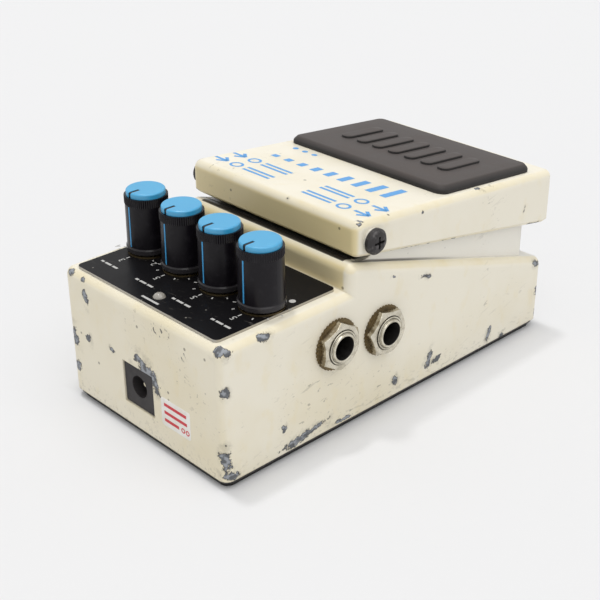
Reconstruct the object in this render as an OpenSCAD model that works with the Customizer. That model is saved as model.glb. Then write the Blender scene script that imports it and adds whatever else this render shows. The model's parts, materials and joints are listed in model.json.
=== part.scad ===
// Delay pedal: a cast wedge-shaped enclosure with four knobs on a rear deck and a hinged
// treadle over a battery well. +X right along the rear face, +Y from the rear face to the
// treadle's front, +Z up. The origin is on the table under the middle of the enclosure.

/* [Enclosure] */
// Width of the enclosure over its side walls
body_w = 66; // [62:0.5:80]
// Length of the enclosure from the rear face to the front face
body_l = 127.4; // [124:0.2:150]
// Height of the control deck above the table
deck_h = 40.3; // [40:0.1:48]
// Length of the control deck from the rear face to the ridge
deck_l = 43; // [42:0.5:50]
// Rise of the ridge above the deck
ridge_rise = 7.3; // [6:0.1:9]
// Height of the enclosure's front edge above the table
front_h = 23.7; // [20:0.1:27]
// Wall thickness of the casting
wall = 2.5; // [2:0.1:3]
// Rounding of the casting's outer edges
edge_r = 2.6; // [1.5:0.1:3]
// Distance of the raised block's front face from the enclosure's front face
block_setback = 8.4; // [7:0.2:12]
// Wall thickness of the raised block under the treadle
block_wall = 2.2; // [1.6:0.1:2.6]

/* [Base] */
// Thickness of the rubber sheet under the base
rubber_t = 1.5; // [1.4:0.1:3]
// Thickness of the steel base plate
plate_t = 1; // [0.8:0.1:1.5]
// Step of the base plate in from the casting's outline
plate_inset = 0.6; // [0.3:0.1:2]
// Step of the rubber sheet in from the casting's outline
rubber_inset = 1.4; // [0.6:0.1:3]

/* [Treadle] */
// Reach of the treadle past the enclosure's front face
overhang = 1.6; // [0.5:0.1:4]
// Distance of the hinge axis behind the ridge
hinge_back = 7.7; // [7.4:0.1:9]
// Rise of the hinge axis above the ridge
hinge_rise = 5.5; // [5.4:0.1:7]
// Reach of the rear lip behind the hinge axis
lip_reach = 5.4; // [5:0.1:5.6]
// Drop of the rear lip's edge below the hinge axis
lip_drop = 4; // [3:0.1:4.2]
// Chamfer along the lower edge of lip and skirts
lip_chamfer = 1; // [0.6:0.1:1.2]
// Rise of the treadle's rear edge above the hinge axis
plate_rise = 5.9; // [5.6:0.1:7]
// Fall of the treadle's top from its rear to its front
treadle_fall = 7.8; // [6:0.2:9]
// Height of the skirt at the treadle's front
front_skirt = 16.2; // [15:0.2:18]
// Wall thickness of the treadle
treadle_t = 2.2; // [1.8:0.1:2.4]
// Rounding of the treadle's outer edges
treadle_r = 2.5; // [1.8:0.1:3]
// Angle the treadle gives underfoot
press_deg = 2.5; // [1:0.1:3]

/* [Tread pad] */
// Width of the rubber tread pad
pad_w = 60.4; // [50:0.2:61]
// Length of the rubber tread pad
pad_l = 40.7; // [30:0.2:44]
// Thickness of the rubber tread pad
pad_t = 2.3; // [1.6:0.1:3]
// Margin between the pad and the treadle's front edge
pad_margin = 7.4; // [4:0.2:12]
// Height of the raised grip bars on the pad
grip_t = 0.7; // [0.4:0.1:1]
// Number of raised grip bars
grip_count = 7; // [3:1:9]

/* [Controls] */
// Distance of the outer knobs' axes from the enclosure's sides
knob_side = 9.9; // [9:0.1:11]
// Distance of the knob row from the rear face
knob_row = 21.8; // [20:0.2:26]
// Diameter of a knob at its base
knob_d = 12.5; // [12:0.1:14]
// Height of a knob from its base to the cap's top
knob_h = 17.6; // [15:0.1:20]
// Diameter of the blue cap
cap_d = 10.7; // [9:0.1:11]
// Height of the blue cap above the ribbed ring
cap_h = 1.5; // [1.2:0.1:2.5]
// Diameter of a control shaft
shaft_d = 6; // [5.6:0.1:6.2]
// Thickness of the panel plate on the deck
panel_t = 0.7; // [0.5:0.1:1.2]
// Margin of the panel plate at the sides of the deck
panel_side = 3.9; // [3:0.1:6]
// Margin of the panel plate at the rear of the deck
panel_rear = 1.9; // [1.4:0.1:4]
// Gap between the panel plate and the ridge
panel_front = 1.1; // [0.6:0.1:3]
// Sideways place of the check light
led_x = 1.2; // [-3:0.1:3]
// Distance of the check light from the rear face
led_row = 6.5; // [6:0.1:8]
// Diameter of the check light
led_d = 3.5; // [3:0.1:4]

/* [Jacks] */
// Distance of the rear pair of jacks from the rear face
jack_row = 38; // [37:0.2:42]
// Spacing of the two jacks on each side
jack_pitch = 17.7; // [16.5:0.1:20]
// Rise of the rear jacks above the front jacks
jack_step = 2.5; // [0:0.1:3]
// Diameter of the plug's bore in a jack
jack_bore = 6.5; // [6.4:0.05:6.7]
// Diameter of a jack's threaded bush
bush_d = 9.4; // [9:0.1:10]
// Reach of a jack's bush past the side wall
bush_reach = 3.5; // [3.2:0.1:5]
// Width across the flats of a jack nut
nut_af = 12; // [11:0.1:13]
// Thickness of a jack nut
nut_t = 1.9; // [1.5:0.1:2.4]
// Thickness of the toothed washer behind a jack nut
jack_washer_t = 0.7; // [0.4:0.1:0.9]
// Width of the power jack's face
dc_w = 12.3; // [11:0.1:13]
// Height of the power jack's face
dc_h = 12; // [11:0.1:13]
// Sideways place of the power jack
dc_x = -1.7; // [-3:0.1:3]
// Diameter of the power jack's socket
dc_bore = 6.3; // [5.8:0.1:6.6]
// Diameter of the power jack's centre pin
dc_pin_d = 2.1; // [1.9:0.1:2.5]

/* [Battery well] */
// Length of the battery well along the treadle
well_l = 28.5; // [28:0.5:30]
// Depth of the battery well at its front edge
well_depth = 17; // [16:0.2:18]
// Thickness of the battery well's floor
well_floor = 1.8; // [1.2:0.1:2.2]

/* [Thumbscrew] */
// Thread pitch of the thumbscrew
thumb_pitch = 0.7; // [0.5:0.05:0.8]
// Turns from loose to tight
thumb_turns = 3; // [2:1:3]
// Diameter of the thumbscrew's knurled head
thumb_d = 9.6; // [8:0.2:10]
// Thickness of the thumbscrew's head
thumb_t = 4.2; // [3:0.1:4.6]

/* [Foot switch] */
// Mean diameter of the return spring
spring_d = 11.4; // [10:0.2:12]
// Wire diameter of the return spring
spring_wire = 1; // [0.8:0.1:1.2]
// Number of turns of the return spring
spring_turns = 7; // [5:1:8]
// Travel of the switch's plunger
plunger_travel = 0.8; // [0.4:0.1:1]

/* [Clearances] */
// Clearance between pieces that move past each other
run_gap = 0.4; // [0.3:0.05:0.45]
// Radial clearance of a running shaft in its bore
shaft_gap = 0.06; // [0.03:0.01:0.1]
// Radial clearance of a screw or bush in its seat
seat_gap = 0.03; // [0.02:0.01:0.08]
// Clearance of the raised block below the pressed treadle
press_gap = 1.2; // [0.8:0.1:1.5]
// Clearance between the treadle's skirts and the raised block
side_gap = 0.6; // [0.4:0.1:0.7]

/* [Hidden] */
$fn = 48;
hull_fn = 32;
cut = 1;
overlap = 0.3;
sliver = 0.1;

// Heights of the main levels
base_h = rubber_t + plate_t;
ridge_h = deck_h + ridge_rise;
hinge_h = ridge_h + hinge_rise;
panel_h = deck_h + panel_t;

// Distances from the rear face
overall_l = body_l + overhang;
hinge_y = deck_l + hinge_back;
treadle_rear = hinge_y - lip_reach;
block_front = body_l - block_setback;

// Slopes of the treadle's top, the raised block and the side walls' upper edge
treadle_pitch = atan2(treadle_fall, overall_l - treadle_rear);
block_pitch = treadle_pitch + press_deg;
body_pitch = atan2(ridge_h - front_h, body_l - deck_l - 2 * edge_r);
treadle_rear_h = hinge_h + plate_rise;
skirt_front_h = treadle_rear_h - treadle_fall - front_skirt;
function treadle_top(y) = treadle_rear_h - (y - treadle_rear) * tan(treadle_pitch);
function treadle_under(y) = treadle_top(y) - treadle_t / cos(treadle_pitch);
function body_top(y) = ridge_h - edge_r + edge_r / cos(body_pitch)
    - (y - deck_l - edge_r) * tan(body_pitch);
function body_under(y) = body_top(y) - wall / cos(body_pitch);
hinge_to_under = (treadle_under(hinge_y) - hinge_h) * cos(treadle_pitch);
function block_top(y) = hinge_h + (hinge_to_under - press_gap) / cos(block_pitch)
    - (y - hinge_y) * tan(block_pitch);

// Radius that the treadle's rear lip sweeps under the hinge
lip_swing = max(norm([lip_reach, lip_drop - lip_chamfer]), norm([lip_reach - lip_chamfer, lip_drop]));
swing_r = lip_swing + run_gap;
ear_r = min(hinge_to_under, lip_reach - treadle_t) - run_gap;
ear_foot = 0.4;
ear_low = ear_r - ear_foot;
ear_t = 4.2;
block_w = body_w - 2 * (treadle_t + side_gap);
block_rear = hinge_y - ear_r;
inner_w = body_w - 2 * wall;

// Battery well, and the bay in front of it that holds the return spring and the foot switch
well_rear = hinge_y + swing_r + block_wall;
well_front = well_rear + well_l;
spring_y = (well_front + block_front) / 2;
well_w = block_w - 2 * block_wall;
well_h = block_top(well_front) - well_depth;

// Audio jacks
jack_box_h = 11;
jack_box_w = 15;
jack_box_l = 26;
jack_depth = 31;
bush_root = 2;
front_jack_h = well_h - well_floor - run_gap - jack_box_h / 2;
bush_chamfer = 0.5;
jacks = [[jack_row, front_jack_h + jack_step, 0], [jack_row + jack_pitch, front_jack_h, 20]];
nut_round = 0.6;
washer_proud = 0.3;
washer_tooth = 0.35;
washer_teeth = 40;

// Circuit board and the posts that carry it
board_t = 1.6;
board_gap = 5;
board_low = base_h + board_gap;
board_h = board_low + board_t;
board_l = 52;
board_margin = 0.8;
post_r = 2.5;
board_posts = [[-14.6, 10], [14.6, 10], [0, jack_row]];
base_post_r = 3.5;
base_post_inset = 5.6;
base_posts = [
    for (s = [-1, 1], y = [base_post_inset, body_l - base_post_inset])
        [s * (body_w / 2 - base_post_inset), y]
];
chips = [[-16, 28, 14, 14, 1.6], [8, 24, 10, 7, 1.8], [18, 40, 9, 6, 1.6], [-20, 43, 8, 5, 1.6]];
capacitors = [[-6, 47], [1, 47], [8, 47]];
capacitor_r = 2.5;
capacitor_h = 6;

// Small screws
screw_r = 1.5;
screw_depth = 9;
screw_head_r = 2.8;
screw_head_t = 1.2;
screw_head_taper = 0.5;
screw_cross_r = 1.6;
cross_w = 0.7;

// Hinge screws and bushes
hinge_bush_r = 2.4;
hinge_bush_flange = 0.6;
hinge_bush_flange_r = 3.3;
hinge_shoulder_r = 1.75;
hinge_head_r = 3.5;
hinge_head_t = 2;

// Thumbscrew: pocket in the front skirt, retaining clip and guide bush
thumb_travel = thumb_pitch * thumb_turns;
thumb_r = 2;
thumb_tip_r = 1.5;
clip_t = 0.6;
clip_r = 3.2;
pocket_r = thumb_d / 2 + run_gap;
pocket_wall = 1.4;
pocket_floor = 1.8;
thumb_h = skirt_front_h + pocket_r + pocket_wall;
press_in = (hinge_h - thumb_h + clip_r) * sin(press_deg) + (overall_l - hinge_y) * (1 - cos(press_deg));
clip_y = block_front + run_gap + press_in + thumb_travel;
pocket_in = clip_y + clip_t + run_gap / 2;
pocket_out = pocket_in + pocket_floor;
knurl_depth = 0.35;
knurl_count = 30;
thumb_slot = 0.9;
tip_drop = (block_front - hinge_y) * sin(press_deg);
slot_r = thumb_tip_r + run_gap;
guide_wall = 1;
guide_tail = 0.8;
guide_l = block_wall + guide_tail;

// Foot switch
spring_bore_r = spring_d / 2 + spring_wire / 2 + run_gap * 2;
spring_wall = 1.8;
spring_floor = 2;
spring_len = 17.5;
spring_seat_t = 0.9;
spring_peg_r = spring_d / 2 - spring_wire / 2 - run_gap * 2;
spring_peg_l = 4;
spring_top = treadle_under(spring_y + spring_bore_r) - spring_seat_t;
spring_low = spring_top - spring_len;
pressed_under = treadle_under(spring_y) - (spring_y - hinge_y) * sin(press_deg);
plunger_top = pressed_under - run_gap;
plunger_r = 2;
plunger_nose = 1;
plunger_taper = 0.6;
switch_wall = 0.6;
switch_h = 5;
switch_l = 8;
switch_drop = 11;
cup_r = spring_bore_r + spring_wall;
switch_x = -(well_w / 2 + cup_r) / 2;
switch_board_w = well_w / 2 - cup_r - 2 * run_gap;
switch_board_l = 10;
switch_board_h = block_top(spring_y) - switch_drop;
switch_posts = [for (s = [-1, 1]) [switch_x + s * (switch_board_w / 2 - post_r), spring_y]];
switch_w = switch_board_w - 4 * post_r - run_gap;
plunger_flange_r = switch_w / 2 - switch_wall - run_gap;

// Knobs, caps and shafts
knob_pitch = (body_w - 2 * knob_side) / 3;
knob_x = [for (i = [0:3]) (i - 1.5) * knob_pitch];
pot_washer_t = 0.4;
pot_nut_t = 1.8;
pot_nut_af = 9;
pot_bush_wall = 0.5;
pot_bush_proud = 0.4;
pot_bush_r = shaft_d / 2 + pot_bush_wall;
pot_bush_top = panel_h + pot_washer_t + pot_nut_t + pot_bush_proud;
pot_w = 11.6;
pot_h = 6.5;
pot_floor = 1;
pot_pin = [0.8, 0.6, 3];
pot_pin_pitch = 3;
pot_washer_in = 0.3;
knob_lift = 0.3;
knob_low = panel_h + pot_washer_t + knob_lift;
knob_top = knob_low + knob_h;
knob_base_h = 1.9;
knob_ring_h = 2.3;
knob_ring_r = knob_d / 2 - 0.3;
knob_waist_r = knob_d / 2 - 0.45;
knob_round = 0.4;
knob_line_depth = 0.25;
knob_recess_r = pot_nut_af / sqrt(3) + run_gap / 2;
cap_low = knob_top - cap_h;
cap_peg_r = 3.6;
cap_peg_l = 1.2;
cap_rim = 0.5;
shaft_roof = 1;
shaft_top = cap_low - cap_peg_l - shaft_roof;
pointer_w = 0.95;
pointer_in = 0.2;
pointer_hub = 2.1;
rib_count = 64;
rib_depth = 0.16;

// Check light
led_holder_wall = 0.35;
led_holder_r = led_d / 2 + led_holder_wall;
led_collar = 0.8;
led_collar_h = 2;
led_low = deck_h - wall - led_collar_h;
led_proud = 1.1;

// Power jack
dc_recess = 0.4;
dc_l = 14;
dc_depth = 9;
dc_bore_lift = 0.4;
dc_gap = 0.25;
dc_pin_set = 1.8;
dc_pin_nose = 0.4;

// Places a shape whose Y runs from the rear face into the part's frame
module from_rear() translate([0, -overall_l / 2, 0]) children();

// Ball that reaches its full radius along every axis, as corner of a hull
module ball(r) rotate_extrude($fn = hull_fn)
    polygon([for (i = [0:hull_fn / 2]) let (a = -90 + 360 * i / hull_fn) [r * cos(a), r * sin(a)]]);

// Upright corner posts between two cross-sections, with rounded tops
module corner_posts(y0, y1, h0, h1) {
    for (s = [-1, 1], e = [[y0 + edge_r, h0], [y1 - edge_r, h1]])
        translate([s * (body_w / 2 - edge_r), e[0], 0]) {
            translate([0, 0, base_h]) cylinder(r = edge_r, h = sliver, $fn = hull_fn);
            translate([0, 0, e[1] - edge_r]) ball(edge_r);
        }
}

// Prism across the pedal whose outline is drawn in distance from the rear and height
module side_prism(w, outline)
    translate([-w / 2, 0, 0]) rotate([90, 0, 90]) linear_extrude(w) polygon(outline);

// Rectangle with round corners about its middle
module round_rect(w, l, r) {
    square([w - 2 * r, l], center = true);
    square([w, l - 2 * r], center = true);
    for (x = [-1, 1], y = [-1, 1]) translate([x * (w / 2 - r), y * (l / 2 - r)]) circle(r);
}

// Slot outline with round ends along Y
module slot_outline(r, l) {
    square([2 * r, l], center = true);
    for (s = [-1, 1]) translate([0, s * l / 2]) circle(r);
}

// Ring of fine teeth
module toothed(r, depth, count, h) linear_extrude(h) polygon([
    for (i = [0:2 * count - 1])
        let (a = 180 * i / count, q = r - depth * (i % 2)) [q * cos(a), q * sin(a)]
]);

// Cylinder along +X from x = 0
module along_x(r, h) rotate([0, 90, 0]) cylinder(r = r, h = h);

// Cylinder along +Y from y = 0
module along_y(r, h) rotate([-90, 0, 0]) cylinder(r = r, h = h);

// Cross recess that a screwdriver fits, sunk from z = 0 down
module cross_recess(r, depth) {
    translate([-r, -cross_w / 2, -depth]) cube([2 * r, cross_w, depth + cut]);
    translate([-cross_w / 2, -r, -depth]) cube([cross_w, 2 * r, depth + cut]);
}

// Small screw driven upwards, head below z = 0
module board_screw(depth) difference() {
    union() {
        cylinder(r = screw_r, h = depth);
        translate([0, 0, -screw_head_t])
            cylinder(r1 = screw_head_r - screw_head_taper, r2 = screw_head_r, h = screw_head_t);
    }
    translate([0, 0, -screw_head_t]) rotate([180, 0, 0]) cross_recess(screw_cross_r, cross_w);
}

// Raised block inside the treadle's skirts, hollowed at its rear by the swing of the lip
module block_outline() side_prism(block_w, [
    [block_rear, body_under(block_rear)], [block_front, body_under(block_front)],
    [block_front, block_top(block_front)], [block_rear, block_top(block_rear)]
]);

module raised_block() {
    difference() {
        block_outline();
        side_prism(well_w, [
            [well_front + block_wall, base_h], [block_front - block_wall, base_h],
            [block_front - block_wall, block_top(block_front - block_wall) - block_wall],
            [well_front + block_wall, block_top(well_front + block_wall) - block_wall]
        ]);
        translate([-body_w / 2, hinge_y, hinge_h]) along_x(swing_r, body_w);
    }
    for (s = [-1, 1]) translate([s * (block_w - ear_t) / 2, 0, 0]) {
        side_prism(ear_t, [
            [hinge_y, hinge_h - ear_low], [hinge_y + swing_r + cut, hinge_h - ear_low],
            [hinge_y + swing_r + cut, block_top(hinge_y + swing_r + cut)], [hinge_y, block_top(hinge_y)]
        ]);
        translate([-ear_t / 2, hinge_y, hinge_h]) along_x(ear_r, ear_t);
    }
}

// Outer casting hollowed from below
module casting() difference() {
    union() {
        hull() corner_posts(0, deck_l + 4 * edge_r, deck_h, deck_h);
        hull() corner_posts(deck_l, body_l, ridge_h, front_h);
    }
    side_prism(inner_w, [
        [wall, base_h - cut], [wall, deck_h - wall], [deck_l + wall, deck_h - wall],
        [deck_l + wall, body_under(deck_l + wall)], [body_l - wall, body_under(body_l - wall)],
        [body_l - wall, base_h - cut]
    ]);
}

// Battery well's shell, spring cup and the foot switch's posts, all hung from the raised block
module well_shell() {
    side_prism(block_w, [
        [well_rear - block_wall, well_h - well_floor], [well_front + block_wall, well_h - well_floor],
        [well_front + block_wall, body_top(well_front + block_wall) - wall / 2],
        [well_rear - block_wall, body_top(well_rear - block_wall) - wall / 2]
    ]);
    intersection() {
        translate([0, spring_y, spring_low - spring_floor]) cylinder(r = cup_r, h = ridge_h);
        side_prism(well_w, [
            [well_front, base_h], [block_front - block_wall / 2, base_h],
            [block_front - block_wall / 2, block_top(block_front)], [well_front, block_top(well_front)]
        ]);
    }
    intersection() {
        for (p = switch_posts) translate([p[0], p[1], switch_board_h]) cylinder(r = post_r, h = ridge_h);
        block_outline();
    }
}

// Posts for the circuit board and the base plate
module posts() {
    for (p = board_posts) translate([p[0], p[1], board_h])
        cylinder(r = post_r, h = deck_h - wall / 2 - board_h);
    for (p = base_posts) translate([p[0], p[1], base_h]) {
        roof = p[1] < hinge_y ? deck_h : body_top(p[1] + base_post_r);
        cylinder(r = base_post_r, h = roof - wall / 2 - base_h);
    }
}

module enclosure() color("cornsilk") from_rear() difference() {
    union() {
        casting();
        posts();
    }
    // Seat of the raised block
    side_prism(block_w, [
        [block_rear, body_under(block_rear) - cut], [block_front, body_under(block_front) - cut],
        [block_front, ridge_h], [block_rear, ridge_h]
    ]);
    // Screw holes in the posts
    for (p = base_posts) translate([p[0], p[1], base_h - cut])
        cylinder(r = screw_r + seat_gap, h = screw_depth + cut);
    for (p = board_posts) translate([p[0], p[1], board_h - cut])
        cylinder(r = screw_r + seat_gap, h = screw_depth + cut);
    // Controls, check light and jacks
    for (x = knob_x) translate([x, knob_row, deck_h - wall - cut])
        cylinder(r = pot_bush_r + seat_gap, h = wall + 2 * cut);
    translate([led_x, led_row, deck_h - wall - cut])
        cylinder(r = led_holder_r + seat_gap, h = wall + 2 * cut);
    at_jacks() translate([inner_w / 2 - cut, 0, 0]) along_x(bush_d / 2 + seat_gap, wall + 2 * cut);
    translate([dc_x - dc_w / 2 - dc_gap, -cut, board_h - dc_gap])
        cube([dc_w + 2 * dc_gap, wall + 2 * cut, dc_h + 2 * dc_gap]);
}

module battery_block() color("ivory") from_rear() difference() {
    union() {
        raised_block();
        well_shell();
    }
    // Battery well, spring cup and plunger hole
    translate([-well_w / 2, well_rear, well_h]) cube([well_w, well_l, ridge_h]);
    translate([0, spring_y, spring_low - run_gap / 2]) cylinder(r = spring_bore_r, h = ridge_h);
    translate([switch_x, spring_y, switch_board_h]) cylinder(r = plunger_r + shaft_gap, h = ridge_h);
    // Screw holes in the foot switch's posts
    for (p = switch_posts) translate([p[0], p[1], switch_board_h - cut])
        cylinder(r = screw_r + seat_gap, h = screw_depth / 2 + cut);
    // Hinge screws' threads in the ears
    for (s = [-1, 1]) translate([s * (block_w / 2 - ear_t / 2) - ear_t, hinge_y, hinge_h])
        along_x(screw_r + seat_gap, 2 * ear_t);
    // Guide bush in the block's front wall
    translate([0, block_front + cut, thumb_h - tip_drop / 2]) rotate([90, 0, 0])
        linear_extrude(cut + guide_l + seat_gap) slot_outline(slot_r + guide_wall + seat_gap, tip_drop);
}

module control_panel() color("#1b1b1d") from_rear() difference() {
    panel_l = deck_l - panel_rear - panel_front;
    panel_r = 1.5;
    translate([0, panel_rear + panel_l / 2, deck_h]) linear_extrude(panel_t)
        round_rect(body_w - 2 * panel_side, panel_l, panel_r);
    for (x = knob_x) translate([x, knob_row, deck_h - cut])
        cylinder(r = pot_bush_r + seat_gap, h = panel_t + 2 * cut);
    translate([led_x, led_row, deck_h - cut]) cylinder(r = led_d / 2 + seat_gap, h = panel_t + 2 * cut);
}

module base_plate() color("#3a3a3c") from_rear() difference() {
    translate([0, body_l / 2, rubber_t]) linear_extrude(plate_t)
        round_rect(body_w - 2 * plate_inset, body_l - 2 * plate_inset, edge_r);
    for (p = base_posts) translate([p[0], p[1], 0]) cylinder(r = screw_r + seat_gap, h = base_h + cut);
}

module base_rubber() color("#222224") from_rear() difference() {
    translate([0, body_l / 2, 0]) linear_extrude(rubber_t)
        round_rect(body_w - 2 * rubber_inset, body_l - 2 * rubber_inset, edge_r);
    for (p = base_posts) translate([p[0], p[1], -cut])
        cylinder(r = screw_head_r + run_gap, h = rubber_t + 2 * cut);
}

module base_screws() color("#4a4a4c") from_rear()
    for (p = base_posts) translate([p[0], p[1], rubber_t]) board_screw(plate_t + screw_depth - cut);

// Treadle: a cast cap with side skirts, a rear lip, a spring peg and a thumbscrew pocket
module treadle_corner(y, low) {
    translate([0, y, treadle_top(y) - treadle_r / cos(treadle_pitch)]) ball(treadle_r);
    translate([0, y, low + lip_chamfer]) cylinder(r = treadle_r, h = sliver, $fn = hull_fn);
    translate([0, y, low]) cylinder(r = treadle_r - lip_chamfer, h = sliver, $fn = hull_fn);
}

module treadle() color("cornsilk") from_rear() difference() {
    union() {
        difference() {
            hull() for (s = [-1, 1]) translate([s * (body_w / 2 - treadle_r), 0, 0]) {
                treadle_corner(treadle_rear + treadle_r, hinge_h - lip_drop);
                treadle_corner(overall_l - treadle_r, skirt_front_h);
            }
            side_prism(body_w - 2 * treadle_t, [
                [treadle_rear + treadle_t, 0], [overall_l - treadle_t, 0],
                [overall_l - treadle_t, treadle_under(overall_l - treadle_t)],
                [treadle_rear + treadle_t, treadle_under(treadle_rear + treadle_t)]
            ]);
        }
        translate([0, pocket_in, thumb_h])
            along_y(pocket_r + pocket_wall, overall_l - treadle_t / 2 - pocket_in);
        translate([0, spring_y, spring_top])
            cylinder(r = spring_bore_r - run_gap, h = spring_seat_t + treadle_t / 2);
        translate([0, spring_y, spring_top - spring_peg_l])
            cylinder(r = spring_peg_r, h = spring_peg_l + overlap);
    }
    translate([0, pocket_out, thumb_h]) along_y(pocket_r, overall_l);
    translate([0, pocket_in - cut, thumb_h]) along_y(thumb_r + shaft_gap, pocket_floor + 2 * cut);
    for (s = [-1, 1]) translate([s * (body_w / 2 - treadle_t / 2) - treadle_t, hinge_y, hinge_h])
        along_x(hinge_bush_r + seat_gap, 2 * treadle_t);
}

// Rubber pad with chamfered edges and raised grip bars, lying on the treadle's slope
module tread_pad() color("#3b3738") from_rear() {
    pad_y = overall_l - pad_margin - pad_l / 2;
    pad_r = 3;
    grip_side = 8;
    grip_end = 12;
    bar_pitch = (pad_w - 2 * grip_side) / grip_count;
    bar_r = bar_pitch / 2 - run_gap * 3;
    translate([0, pad_y, treadle_top(pad_y)]) rotate([-treadle_pitch, 0, 0]) {
        hull() for (x = [-1, 1], y = [-1, 1])
            translate([x * (pad_w / 2 - pad_r), y * (pad_l / 2 - pad_r), 0]) {
                cylinder(r = pad_r, h = pad_t / 2, $fn = hull_fn);
                cylinder(r = pad_r - pad_t / 2, h = pad_t, $fn = hull_fn);
            }
        for (i = [0:grip_count - 1]) translate([(i - (grip_count - 1) / 2) * bar_pitch, 0, pad_t / 2])
            linear_extrude(pad_t / 2 + grip_t) slot_outline(bar_r, pad_l - 2 * grip_end);
    }
}

// Shoulder screws through the skirts into the ears
module hinge_screw() {
    head_x = body_w / 2 + hinge_bush_flange + run_gap / 2;
    translate([block_w / 2 - ear_t + overlap, 0, 0]) along_x(screw_r, ear_t - overlap);
    translate([block_w / 2, 0, 0]) along_x(hinge_shoulder_r, head_x - block_w / 2 + sliver);
    translate([head_x, 0, 0]) rotate([0, 90, 0]) difference() {
        rotate_extrude() polygon([
            [0, 0], [hinge_head_r, 0], [hinge_head_r, hinge_head_t / 2],
            [hinge_head_r * 0.8, hinge_head_t * 0.85], [hinge_head_r / 2, hinge_head_t], [0, hinge_head_t]
        ]);
        translate([0, 0, hinge_head_t]) cross_recess(hinge_head_r / 2, hinge_head_t / 2);
    }
}

module hinge_screws() color("#3c3b3d") from_rear() for (s = [0, 1])
    mirror([s, 0, 0]) translate([0, hinge_y, hinge_h]) hinge_screw();

// Flanged plastic bushes between the skirts and the hinge screws
module hinge_bushes() color("gainsboro") from_rear() for (s = [0, 1]) mirror([s, 0, 0])
    translate([body_w / 2 - treadle_t, hinge_y, hinge_h]) difference() {
        union() {
            along_x(hinge_bush_r, treadle_t + hinge_bush_flange);
            translate([treadle_t, 0, 0]) along_x(hinge_bush_flange_r, hinge_bush_flange);
        }
        translate([-cut, 0, 0])
            along_x(hinge_shoulder_r + shaft_gap, treadle_t + hinge_bush_flange + 2 * cut);
    }

// Return spring: one wire along a helix with straight ends
coil_steps = 8;
coil_sides = 6;
coil_rise = (spring_len - 2 * spring_wire) / spring_turns;
coil_angle = atan2(coil_rise, PI * spring_d);
function coil_point(a) = [spring_d / 2 * cos(a), spring_d / 2 * sin(a), spring_wire + coil_rise * a / 360];
function coil_tangent(a) = [-sin(a) * cos(coil_angle), cos(a) * cos(coil_angle), sin(coil_angle)];
coil_end = 360 * spring_turns;
coil_turns = [for (i = [0:coil_steps * spring_turns]) i * 360 / coil_steps];
coil_line = concat(
    [[coil_point(0) - spring_wire * coil_tangent(0), 0]],
    [for (a = coil_turns) [coil_point(a), a]],
    [[coil_point(coil_end) + spring_wire * coil_tangent(coil_end), coil_end]]
);
coil_gap = min([for (i = [0:len(coil_turns) - 1], j = [i + coil_steps - 1:1:len(coil_turns) - 1])
    norm(coil_point(coil_turns[i]) - coil_point(coil_turns[j]))]) - spring_wire;
echo("least gap between the return spring's turns", coil_gap);

function coil_ring(c, a) = let (n = [cos(a), sin(a), 0], b = cross(coil_tangent(a), n)) [
    for (k = [0:coil_sides - 1])
        let (u = 360 * k / coil_sides) c + spring_wire / 2 * (cos(u) * n + sin(u) * b)
];

module return_spring() color("silver") from_rear() translate([0, spring_y, spring_low]) {
    rings = len(coil_line);
    last = (rings - 1) * coil_sides;
    points = [for (p = coil_line) each coil_ring(p[0], p[1])];
    sides = [for (i = [0:rings - 2], k = [0:coil_sides - 1])
        let (a = i * coil_sides + k, b = i * coil_sides + (k + 1) % coil_sides)
        each [[a, b + coil_sides, b], [a, a + coil_sides, b + coil_sides]]];
    caps = [for (k = [1:coil_sides - 2]) each [[0, k, k + 1], [last, last + k + 1, last + k]]];
    polyhedron(points, concat(sides, caps));
}

// Thumbscrew, shown loosened: knurled head, thread, clip groove and plain tip
module thumbscrew() color("#2a2a2c") from_rear() translate([0, 0, thumb_h]) {
    head_y = pocket_out + run_gap / 2 + thumb_travel;
    groove = clip_t + run_gap / 2;
    translate([0, head_y, 0]) rotate([-90, 0, 0]) difference() {
        toothed(thumb_d / 2, knurl_depth, knurl_count, thumb_t);
        translate([-thumb_d, -cross_w / 2, thumb_t - thumb_slot]) cube([2 * thumb_d, cross_w, thumb_t]);
    }
    translate([0, clip_y + groove, 0]) along_y(thumb_r, head_y - clip_y - groove + sliver);
    translate([0, block_front + run_gap, 0]) along_y(thumb_tip_r, clip_y + groove - block_front);
}

module thumbscrew_clip() color("darkgray") from_rear() translate([0, clip_y, thumb_h]) difference() {
    along_y(clip_r, clip_t);
    translate([0, -cut, 0]) along_y(thumb_tip_r + shaft_gap, clip_t + 2 * cut);
}

// Slotted bush that catches the thumbscrew's tip and lets it move with the treadle
module guide_bush() color("gainsboro") from_rear()
    translate([0, block_front, thumb_h - tip_drop / 2]) rotate([90, 0, 0]) difference() {
        linear_extrude(guide_l) slot_outline(slot_r + guide_wall, tip_drop);
        translate([0, 0, -cut]) linear_extrude(guide_l + 2 * cut) slot_outline(slot_r, tip_drop);
    }

module foot_switch() color("#222224") from_rear()
    translate([switch_x, spring_y, switch_board_h]) difference() {
        translate([-switch_w / 2, -switch_l / 2, 0]) cube([switch_w, switch_l, switch_h]);
        translate([0, 0, switch_h - plunger_travel - 2 * run_gap - cut])
            cylinder(r = plunger_flange_r + run_gap, h = switch_h);
    }

module switch_board() color("#2f6b3c") from_rear() difference() {
    translate([switch_x - switch_board_w / 2, spring_y - switch_board_l / 2, switch_board_h - board_t])
        cube([switch_board_w, switch_board_l, board_t]);
    for (p = switch_posts) translate([p[0], p[1], 0]) cylinder(r = screw_r + seat_gap, h = ridge_h);
}

module switch_screws() color("silver") from_rear() for (p = switch_posts)
    translate([p[0], p[1], switch_board_h - board_t]) board_screw(board_t + screw_depth / 2 - cut);

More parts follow.
